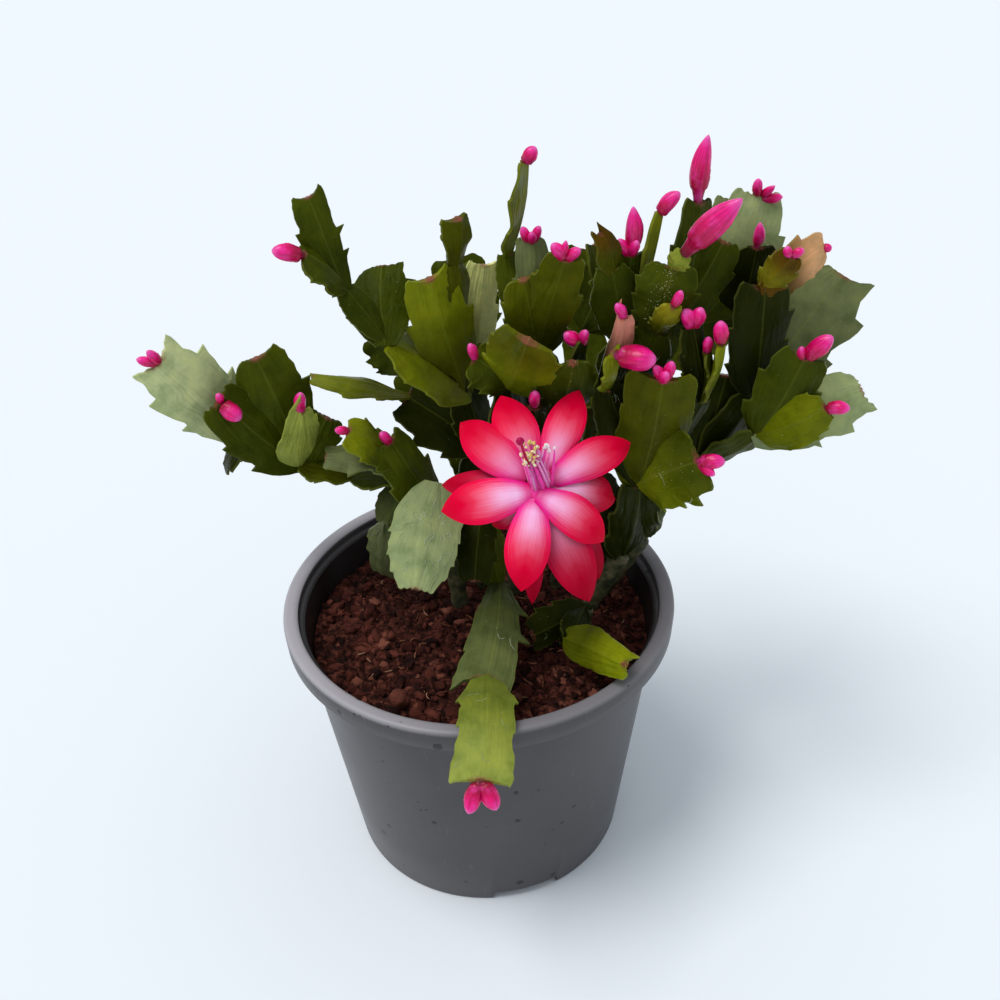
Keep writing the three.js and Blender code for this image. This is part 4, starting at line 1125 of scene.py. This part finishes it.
def lint_curl(chance):
    """A curl of lint in a pad's own shares: a line of places across it and along it."""
    x, y = chance.uniform(-0.75, 0.75), chance.uniform(-0.6, 0.8)
    turn, bend = chance.uniform(0, FULL_TURN), chance.uniform(-0.9, 0.9)
    curl = []
    for _ in range(LINT_STEPS):
        curl.append((max(-0.95, min(0.95, x)), max(-0.9, min(0.97, y)), 1))
        x, y = x + LINT_ACROSS * math.cos(turn), y + LINT_ALONG * math.sin(turn)
        turn += bend * chance.uniform(0.4, 1)
    return np.array(curl)


class CACTUS_OT_stems(bpy.types.Operator):
    """Models one toothed pad, lays a copy of it along every segment and joins them stem by stem"""
    bl_idname = "cactus.stems"
    bl_label = "Stems"

    def execute(self, context):
        settings = context.scene.cactus_pads
        blade, stalk, bristle = blade_master(12), round_master(12, 22), round_master(3, 3)
        blade_points, stalk_points, bristle_points = map(coordinates, (blade, stalk, bristle))
        blade.data.materials.append(pad_material())
        stalk.data.materials.append(bark_material())
        bristle.data.materials.append(bristle_material())
        for stem, pads in STEMS.items():
            chance = random.Random(stem)
            pieces = []
            for pad in pads:
                if pad["woody"]:
                    pieces.append(copied(stalk, stalk_places(stalk_points, pad)))
                    continue
                colours = pad_colours(pad, (blade_points[:, 1] + 1) / 2, chance)
                pieces.append(copied(blade, pad_places(blade_points, pad, settings), colours))
                if pad["ends"]:
                    length = settings.bristle / MM
                    pieces += bristle_tuft(bristle, bristle_points, pad, length, chance)
            dressed(pieces, stem, "pad_skin")
        removed(blade, stalk, bristle)
        return {"FINISHED"}


class CACTUS_OT_lint(bpy.types.Operator):
    """Lays curls of lint and grains of dust on the faces of the pads that gathered them"""
    bl_idname = "cactus.lint"
    bl_label = "Lint"

    def execute(self, context):
        settings = context.scene.cactus_pads
        chance = random.Random("lint")
        thread, grain = round_master(3, 9), crumb_master(1, 1)
        thread_points, grain_points = coordinates(thread), coordinates(grain)
        radius = settings.lint / MM / 2
        pieces = []
        for name, (grains, curls) in DUST.items():
            pad = PADS[name]
            _, across, face = pad_directions(pad)
            for _ in range(curls):
                curl = pad_places(lint_curl(chance), pad, settings) + np.array(face) * LINT_LIFT
                spine = along_line(thread_points[:, 2], np.linspace(0, 1, len(curl)), curl)
                pieces.append(copied(
                    thread, rod_places(thread_points, spine, radius, across, face),
                    chance.choice(LINT_COLOURS)))
            middle = chance.uniform(-0.3, 0.3)
            places = [(max(-0.9, min(0.9, chance.gauss(middle, GRAIN_SPREAD))),
                       chance.uniform(-0.85, 0.95), 1) for _ in range(grains)]
            for place in pad_places(np.array(places), pad, settings):
                points = grain_points * chance.uniform(*GRAIN_RADIUS) + place
                pieces.append(copied(grain, points, chance.choice(GRAIN_COLOURS)))
        finished(pieces, "lint", "pad_skin", tinted_material("lint", 0.8))
        removed(thread, grain)
        return {"FINISHED"}


# Buds

def bud_places(points, start, tip, thickness, shrink, chance):
    """Bends a round master into a bud whose petals wrap round it in a slow spiral."""
    axis = (tip - start) * shrink
    thickness *= (1 + shrink) / 2
    u, angle = points[:, 2], np.arctan2(points[:, 1], points[:, 0])
    kind = "thick_bud" if axis.length > SLENDER_FROM * thickness else "plump_bud"
    radius = np.interp(u, *SIDES[kind].T) * thickness / 2
    turn = (angle / math.tau * BUD_PETALS + BUD_WINDING * u + chance.random()) % 1
    wrapped = np.clip((u - WRAP_START) / WRAP_RISE, 0, 1) * np.clip((1 - u) / WRAP_FALL, 0, 1)
    radius = radius * (1 - BUD_HOLLOW * wrapped + BUD_STEP * wrapped * turn ** 3)
    scales = np.clip(1 - np.abs(u - SCALES_AT) / SCALES_SPREAD, 0, 1)
    points_of_scales = np.abs(np.sin(2.5 * angle + chance.uniform(0, 3)))
    radius = radius * (1 + SCALE_HEIGHT * scales * points_of_scales)
    bend = chance.uniform(-BUD_BEND, BUD_BEND) * axis.length * np.sin(math.pi * u)
    across, through = points[:, 0] * radius + bend, points[:, 1] * radius
    return stood_on(np.stack([across, through, u * axis.length], axis=1), start, axis)


class CACTUS_OT_buds(bpy.types.Operator):
    """Models one wrapped bud and sets a copy of it at every bud of every bunch"""
    bl_idname = "cactus.buds"
    bl_label = "Buds"

    def execute(self, context):
        master = round_master(30, 26)
        points = coordinates(master)
        skin = bud_material(context.scene.cactus_flower.magenta)
        for name, buds in BUD_BUNCHES.items():
            node = "buds_" + name
            chance = random.Random(node)
            seat = tip_seat(PADS[BUD_PADS.get(name, name)], 0.4)
            shrink = BUD_SHRINK.get(name, COMMON_SHRINK)
            pieces = [
                copied(master, bud_places(points, seat, Vector(tip), thickness, shrink, chance))
                for *tip, thickness in buds]
            dressed(pieces, node, "bud_skin", skin)
        removed(master)
        return {"FINISHED"}


# Flower

def flower_directions():
    """Out of the flower's mouth, to its right and up its face."""
    out = (MOUTH - PADS[FLOWER_PAD]["tip"]).normalized()
    right = -out.cross(UP).normalized()
    return out, right, -right.cross(out)


def flower_point(across, upwards, outwards):
    """A point of the flower, measured from the middle of its mouth."""
    out, right, up = flower_directions()
    return MOUTH + right * across + up * upwards + out * outwards


def oval_point(oval, turn, share, outwards):
    """A point of the flower at a share of the way from an oval's middle out to the oval."""
    across, upwards, half_width, half_height = oval
    return flower_point(across + half_width * share * math.cos(turn),
                        upwards + half_height * share * math.sin(turn), outwards)


def petal_places(points, petal, settings, chance):
    """Bends a flat master into a petal that springs from the mouth and curls back to its tip."""
    (across_tip, up_tip, back), width, base, _ = petal
    start, tip = flower_point(*base), flower_point(across_tip, up_tip, -back)
    along = tip - start
    across = along.cross(flower_directions()[0]).normalized()
    face = across.cross(along).normalized()
    side = SIDES["petal_side"]
    u, v = blade_shares(points, side, side, 1, 1)
    t = np.abs(points[:, 0])
    edge, middle = settings.petal_edge / MM / 2, settings.petal_middle / MM / 2
    half = edge + (middle - edge) * (1 - t ** 1.5) * (1 - PETAL_THINNING * u)
    run, phase = chance.uniform(*RUFFLE_RUN), chance.uniform(*RUFFLE_START)
    ruffle = PETAL_RUFFLE * t ** 2 * np.sin(u * run + phase + RUFFLE_APART * np.sign(points[:, 0]))
    groove = -PETAL_GROOVE * np.exp(-(t / GROOVE_SHARE) ** 2)
    arch = PETAL_BULGE * np.sin(math.pi * np.clip(u, 0, 1) ** 0.8)
    curl = -PETAL_CURL * np.clip((u - CURLS_FROM) / (1 - CURLS_FROM), 0, 1) ** 2
    lift = arch + curl - PETAL_CUP * v * v + ruffle + groove + points[:, 2] * half
    sway = chance.uniform(-PETAL_SWAY, PETAL_SWAY) * np.sin(math.pi * u)
    return laid_from(start, (u, along), (v * width / 2 + sway, across), (lift, face))


def tube_piece():
    """The flower's tube, a closed cup whose lip lies under the petals."""
    foot = PADS[FLOWER_PAD]["tip"]
    axis = MOUTH - foot
    length, rim = axis.length, MOUTH_RADIUS - 0.4
    tube = lathe([
        (0, 0), (1.7, 0), (2.2, 0.6), (2.5, 3), (2.9, 0.35 * length), (3.9, 0.6 * length),
        (rim - 0.3, 0.84 * length), (rim, length - 2), (rim - 0.3, length - 1.6),
        (rim - 0.7, length - 2), (4.2, length - 2.2), (2.6, length - 1.8), (0, length - 1.6),
    ], 40)
    tube.data.transform(Matrix.Translation(foot * MM) @ turn_towards(axis).to_4x4())
    tint(paintable(tube, 50), (1, 1, 1), 0.5)
    # The whole tube has the colours of a petal's foot.
    for corner in tube.data.uv_layers[0].data:
        corner.uv.y *= 0.18
    return tube


class CACTUS_OT_petals(bpy.types.Operator):
    """Models one petal and lays a copy of it at each place of the open flower, round its tube"""
    bl_idname = "cactus.petals"
    bl_label = "Petals"

    def execute(self, context):
        settings = context.scene.cactus_flower
        chance = random.Random("petals")
        master = blade_master(14)
        points = coordinates(master)
        pieces = []
        for petal in PETALS:
            # Painted shade: the further back a petal's tip lies, the darker it is.
            depth = 1 - PETAL_PAINTED_SHADE * petal[0][2]
            pieces.append(copied(
                master, petal_places(points, petal, settings, chance), [depth] * 3, petal[-1]))
        dressed([*pieces, tube_piece()], "flower_petals", "petal", petal_material(settings))
        removed(master)
        return {"FINISHED"}


def bent_places(points, start, bend, tip, foot_radius, tip_radius):
    """Bends a round master along a smooth curve from its start past a bend to its tip."""
    u = points[:, 2]
    spine = laid_from((0, 0, 0), ((1 - u) ** 2, start), (2 * u * (1 - u), bend), (u ** 2, tip))
    radius = foot_radius + (tip_radius - foot_radius) * u
    side = (tip - start).orthogonal().normalized()
    return rod_places(points, spine, radius, side, (tip - start).normalized().cross(side))


def knob_places(points, across, through, length, place, axis):
    """Bends a round master into a knob about a place: its half widths are given point by point."""
    x, y, z = points.T
    return stood_on(np.stack([x * across, y * through, (z - 0.5) * length], axis=1), place, axis)


class CACTUS_OT_stamens(bpy.types.Operator):
    """Models one filament and one anther and spreads copies of them out of the flower's mouth"""
    bl_idname = "cactus.stamens"
    bl_label = "Stamens"

    def execute(self, context):
        chance = random.Random("stamens")
        filament, anther = round_master(6, 12), round_master(8, 6)
        threads, knobs = coordinates(filament), coordinates(anther)
        bellied = np.sin(math.pi * np.clip(knobs[:, 2], 0.02, 0.98)) ** 0.5
        pieces = []
        for i in range(context.scene.cactus_flower.filaments):
            turn, spread = chance.uniform(0, 6.283), chance.random() ** 0.5
            # Those that stand apart, to the right, have paler anthers.
            apart = i % APART_ONE_IN == 0
            tips = APART_TIPS if apart else STAMEN_TIPS
            tip = oval_point(tips, turn, spread, chance.uniform(*TIPS_OUT))
            start = oval_point(STAMEN_STARTS, turn, 1, STARTS_OUT)
            bend = oval_point(STAMEN_BENDS, turn, 1, BENDS_OUT)
            pieces.append(copied(
                filament, bent_places(threads, start, bend, tip, *FILAMENT_RADII),
                chance.choice(FILAMENT_COLOURS)))
            lean = (tip - bend).normalized() + Vector([chance.uniform(-1, 1) for _ in range(3)])
            across, through = (width * bellied for width in ANTHER_WIDTHS)
            length = chance.uniform(*ANTHER_LENGTH)
            pieces.append(copied(
                anther, knob_places(knobs, across, through, length, tip, lean),
                chance.choice(PALE_ANTHERS if apart else CREAM_ANTHERS)))
        # The dome closes the mouth.
        dome = DOME_RADIUS * bellied
        pieces.append(copied(anther, knob_places(
            knobs, dome, dome, DOME_HEIGHT, flower_point(*DOME_PLACE),
            flower_directions()[0]), "ff48b0"))
        dressed(pieces, "flower_stamens", "stamen", tinted_material("stamen", 0.55))
        removed(filament, anther)
        return {"FINISHED"}


class CACTUS_OT_pistil(bpy.types.Operator):
    """Models the style that runs in front of the stamens, and its lobed stigma"""
    bl_idname = "cactus.pistil"
    bl_label = "Pistil"

    def execute(self, context):
        master = round_master(12, 24)
        points = coordinates(master)
        start, tip = flower_point(*STYLE_FOOT), flower_point(*STYLE_TIP)
        bend = (start + tip) / 2 - flower_directions()[2] * STYLE_SAG
        style = copied(master, bent_places(points, start, bend, tip, *STYLE_RADII), "b40c40")
        u, angle = points[:, 2], np.arctan2(points[:, 1], points[:, 0])
        lobes = 1 + STIGMA_LOBE_HEIGHT * np.cos(STIGMA_LOBES * angle) * np.clip(u * 2, 0, 1)
        radius = STIGMA_RADIUS * np.sin(math.pi * np.clip(u, 0, 1)) ** 0.55 * lobes
        knob = knob_places(points, radius, radius, STIGMA_LENGTH, tip, tip - bend)
        stigma = copied(master, knob, "b40c50")
        dressed([style, stigma], "flower_pistil", "style", tinted_material("style", 0.4))
        removed(master)
        return {"FINISHED"}


# Soil

def soil_height(x, y):
    """The soil's surface in millimetres: long low waves, as in the part."""
    waves = math.sin(x * 0.19 + 1.3) * math.cos(y * 0.16) + 0.6 * math.sin(x * 0.41 - y * 0.33)
    return SOIL_LEVEL + 0.84 * waves


def on_soil_at(x, y):
    """A place on the soil, in millimetres: its waves with lumps, clods and grains on them."""
    height = soil_height(x, y) + noise.noise(Vector((x, y, 3)) * LUMPS_PER_MM) * LUMP_HEIGHT
    for level, per_mm, reach, bump in SOIL_BUMPS:
        height += bump * max(0, reach - noise.voronoi(Vector((x, y, level)) * per_mm)[0][0])
    return Vector((x, y, height - RELIEF_DROP))


def on_soil(chance, reach):
    """A random place on the soil, in millimetres."""
    distance, angle = reach * chance.random() ** 0.5, chance.uniform(0, math.tau)
    return on_soil_at(distance * math.cos(angle), distance * math.sin(angle))


def soil_body(radius):
    """The soil as a closed body: a crumbly disc, drawn down to the pot's floor."""
    body = primitive(bpy.ops.mesh.primitive_grid_add, x_subdivisions=150, y_subdivisions=150,
                     size=2 * radius * MM * 1.01)
    with editing(body):
        bpy.ops.mesh.select_mode(type="VERT")
        bpy.ops.mesh.select_all(action="DESELECT")
    outside = np.hypot(*coordinates(body)[:, :2].T) / MM > radius
    body.data.vertices.foreach_set("select", outside)
    with editing(body):
        bpy.ops.mesh.delete(type="VERT")
        bpy.ops.mesh.select_all(action="DESELECT")
        bpy.ops.mesh.select_non_manifold()
    points = coordinates(body) / MM
    border = np.zeros(len(points), dtype=bool)
    body.data.vertices.foreach_get("select", border)
    points[border] *= radius / np.hypot(*points[border, :2].T)[:, None]
    placed(body, np.array([on_soil_at(x, y) for x, y, _ in points]) * MM)
    with editing(body):
        bpy.ops.mesh.extrude_region_move(TRANSFORM_OT_translate={"value": (0, 0, -MM)})
        bpy.ops.transform.resize(value=(0.82, 0.82, 0), center_override=(0, 0, FLOOR_TOP * MM))
        bpy.ops.mesh.edge_face_add()
        bpy.ops.mesh.select_all(action="SELECT")
        bpy.ops.mesh.normals_make_consistent(inside=False)
    tint(paintable(body, 40), "1e0c07", 0)
    return body


class CACTUS_OT_soil(bpy.types.Operator):
    """Models the soil's crumbly body, and strews lumps and fibres over it"""
    bl_idname = "cactus.soil"
    bl_label = "Soil"

    def execute(self, context):
        settings, pot = context.scene.cactus_soil, context.scene.cactus_pot
        taper = (WALL_TOP_RADIUS - pot.foot_radius / MM) / (pot.height / MM - WALL_TOP_DROP)
        radius = (pot.foot_radius - pot.wall) / MM + taper * (SOIL_LEVEL - 2) - 0.3
        material = soil_material(settings.dark, settings.light)
        dressed([soil_body(radius)], "soil", "potting_soil", material)
        chance = random.Random("soil")
        masters = [*(crumb_master(seed) for seed in range(5)), crumb_master(9, 4, 0.16)]
        shapes = [coordinates(master) for master in masters]
        pieces = []
        for _ in range(settings.crumbs):
            pick = chance.randrange(len(masters) - 1)
            share = SMALLEST_CRUMB + CRUMB_RANGE * chance.random() ** 3
            size = settings.crumb_size / MM * share
            stretch = [chance.uniform(*ends) for ends in CRUMB_STRETCH]
            turn = (Matrix.Rotation(chance.uniform(0, FULL_TURN), 3, "Z")
                    @ Matrix.Rotation(chance.uniform(-CRUMB_LEAN, CRUMB_LEAN), 3, "X"))
            points = shapes[pick] * (np.array(stretch) * size) @ np.array(turn).T
            points = points + np.array(on_soil(chance, radius - CRUMBS_INSIDE))
            pieces.append(copied(masters[pick], points, chance.choice(CRUMB_COLOURS), 0.8))
        ball = on_soil_at(*BALL_PLACE) + UP * 0.6 * BALL_RADIUS
        clod = shapes[-1] * BALL_RADIUS + np.array(ball)
        pieces.append(copied(masters[-1], clod, "6a3a2e", 0.7))
        finished(pieces, "soil_crumbs", "potting_soil", material)
        fibre = round_master(4, 8)
        shares = coordinates(fibre)
        pieces = []
        for _ in range(settings.fibres):
            start = on_soil(chance, radius - FIBRES_INSIDE) + UP * 0.5
            angle, length = chance.uniform(0, FULL_TURN), chance.uniform(*FIBRE_LENGTH)
            rise = chance.uniform(*FIBRE_RISE)
            run = Vector((math.cos(angle), math.sin(angle), rise)) * length
            aside = [chance.uniform(-FIBRE_PUSH, FIBRE_PUSH) for _ in range(2)]
            bend = start + run * 0.5 + Vector((*aside, FIBRE_HUMP))
            points = bent_places(shares, start, bend, start + run, *FIBRE_RADII)
            pieces.append(copied(fibre, points, chance.choice(FIBRE_COLOURS)))
        finished(pieces, "soil_fibres", "potting_soil", material)
        removed(fibre, *masters)
        return {"FINISHED"}


# Pot

def pot_profile(settings):
    """The pot's section, from the middle of its underside up outside and down inside."""
    rim, top, foot, wall = (value / MM for value in (
        settings.rim_radius, settings.height, settings.foot_radius, settings.wall))
    slope = (WALL_TOP_RADIUS - foot) / (top - WALL_TOP_DROP)

    def outside(height, further=0):
        return foot + slope * height + further

    return [
        (0, 0), (13.6, 0), (14.2, 0.2), (15.6, 2.3), (16.2, 2.5), (38.6, 2.5), (39.2, 2.3),
        (40.2, 0.2), (40.7, 0), (foot - 0.7, 0), (foot - 0.2, 0.2), (foot + 0.1, 0.8),
        *((outside(height), height) for height in (20, 50, 80, 84.6)),
        (outside(85.4, 0.5), 85.5), (rim - 2, 85.6), (rim - 1.5, 85.2), (rim - 1.4, 83.3),
        (rim - 1.1, 83), (rim - 0.5, 83), (rim - 0.3, 83.3), (rim - 0.15, 86), (rim, 88.6),
        (rim - 0.1, 89.2), (rim - 0.35, 89.6), (rim - 0.8, top - 0.1), (rim - 1.4, top),
        (56.7, top), (55.9, top - 0.3), (55.3, 89.2), (55, 87), (54.5, 86.4),
        (outside(85, 0.2 - wall), 85.9), (outside(84.8, -wall), 85.4), (outside(60, -wall), 60),
        (outside(30, -wall), 30), (outside(6, -wall), 5.4), (outside(4, -wall - 1), 4.1),
        (16, 3.9), (14.4, 3.6), (13, 1.6), (12.4, wall), (0, wall),
    ]


def cutter(add, angle, reach, height, **settings):
    """A body that cuts the pot at an angle and a distance from its axis, in millimetres."""
    place = Vector((reach * math.cos(angle), reach * math.sin(angle), height)) * MM
    body = primitive(add, location=place, **settings)
    bpy.ops.object.transform_apply(location=True, rotation=True, scale=True)
    return body


def pot_cutter():
    """The drain holes and the notches of the foot, as one cutter."""
    holes = [
        cutter(bpy.ops.mesh.primitive_cylinder_add, math.tau * (i + 0.5) / DRAIN_HOLES,
               DRAIN_CIRCLE_RADIUS, 2.5, vertices=32, radius=DRAIN_HOLE_RADIUS * MM, depth=6 * MM)
        for i in range(DRAIN_HOLES)]
    notches = [
        cutter(bpy.ops.mesh.primitive_cube_add, angle, NOTCH_RADIUS, 0, size=1,
               rotation=(0, 0, angle),
               scale=Vector((NOTCH_LENGTH, NOTCH_WIDTH, 2 * NOTCH_HEIGHT)) * MM)
        for angle in map(math.radians, NOTCH_ANGLES)]
    return joined(holes + notches)


class CACTUS_OT_pot(bpy.types.Operator):
    """Spins the pot from its section, then cuts its drain holes and the notches of its foot"""
    bl_idname = "cactus.pot"
    bl_label = "Pot"

    def execute(self, context):
        settings = context.scene.cactus_pot
        pot, holes = lathe(pot_profile(settings), 160), pot_cutter()
        apply_modifier(pot, "BOOLEAN", operation="DIFFERENCE", solver="EXACT", object=holes)
        removed(holes)
        smoothed(pot, 32)
        dressed([pot], "pot", "pot_plastic", plastic_material(settings))
        return {"FINISHED"}


# Stage

class CACTUS_OT_stage(bpy.types.Operator):
    """Sets the pale floor, the soft lights and the camera at the photograph's angle"""
    bl_idname = "cactus.stage"
    bl_label = "Stage"

    def execute(self, context):
        settings = context.scene.cactus_stage
        floor = primitive(bpy.ops.mesh.primitive_plane_add, size=14)
        floor.name = "floor"
        floor.data.materials.append(floor_material(settings.floor))
        sun = bpy.data.lights.new("key_light", "SUN")
        sun.energy, sun.angle, sun.color = settings.key, settings.softness, LIGHT_COLOUR
        light = bpy.data.objects.new("key_light", sun)
        light.rotation_euler = LIGHT_COURSE.to_track_quat("-Z", "Y").to_euler()
        context.collection.objects.link(light)
        world = bpy.data.worlds.new("soft_room")
        world.use_nodes = True
        background = world.node_tree.nodes["Background"]
        background.inputs["Color"].default_value = settings.sky
        background.inputs["Strength"].default_value = settings.sky_strength
        context.scene.world = world
        context.scene.view_settings.view_transform = "Standard"
        self.camera(context, settings.lens)
        return {"FINISHED"}

    def camera(self, context, lens):
        back = (CAMERA_PLACE - CAMERA_TARGET).normalized()
        turn = Quaternion(back, math.radians(CAMERA_ROLL))
        right = turn @ UP.cross(back).normalized()
        data = bpy.data.cameras.new("camera")
        data.lens, data.sensor_width, data.clip_start = lens, 36, 0.01
        camera = bpy.data.objects.new("camera", data)
        axes = Matrix((right, back.cross(right), back)).transposed().to_4x4()
        camera.matrix_world = Matrix.Translation(CAMERA_PLACE * MM) @ axes
        context.collection.objects.link(camera)
        context.scene.camera = camera


class CACTUS_PT_panel(bpy.types.Panel):
    """Lists the sizes, the colours and the pieces of the potted cactus"""
    bl_idname = "CACTUS_PT_panel"
    bl_label = "Potted Christmas Cactus"
    bl_space_type = "VIEW_3D"
    bl_region_type = "UI"
    bl_category = "Cactus"

    def draw(self, context):
        for name, operators in PANEL_ROWS.items():
            settings = getattr(context.scene, name)
            column = self.layout.column(align=True)
            for field in settings.__annotations__:
                column.prop(settings, field)
            for operator in operators:
                column.operator(operator)


PANEL_ROWS = {
    "cactus_stage": ["cactus.stage"],
    "cactus_pot": ["cactus.pot"],
    "cactus_soil": ["cactus.soil"],
    "cactus_pads": ["cactus.stems", "cactus.lint"],
    "cactus_flower": ["cactus.buds", "cactus.petals", "cactus.stamens", "cactus.pistil"],
}
SETTINGS = {
    "cactus_stage": StageSettings, "cactus_pot": PotSettings, "cactus_soil": SoilSettings,
    "cactus_pads": PadSettings, "cactus_flower": FlowerSettings,
}
CLASSES = [
    *SETTINGS.values(), CACTUS_OT_stage, CACTUS_OT_pot, CACTUS_OT_soil, CACTUS_OT_stems,
    CACTUS_OT_lint, CACTUS_OT_buds, CACTUS_OT_petals, CACTUS_OT_stamens, CACTUS_OT_pistil,
    CACTUS_PT_panel,
]


def register():
    for item in CLASSES:
        bpy.utils.register_class(item)
    for name, group in SETTINGS.items():
        setattr(bpy.types.Scene, name, PointerProperty(type=group))


def unregister():
    for name in SETTINGS:
        delattr(bpy.types.Scene, name)
    for item in reversed(CLASSES):
        bpy.utils.unregister_class(item)


def main():
    register()
    for operator in (
            "stage", "pot", "soil", "stems", "lint", "buds", "petals", "stamens", "pistil"):
        getattr(bpy.ops.cactus, operator)()


if __name__ == "__main__":
    main()
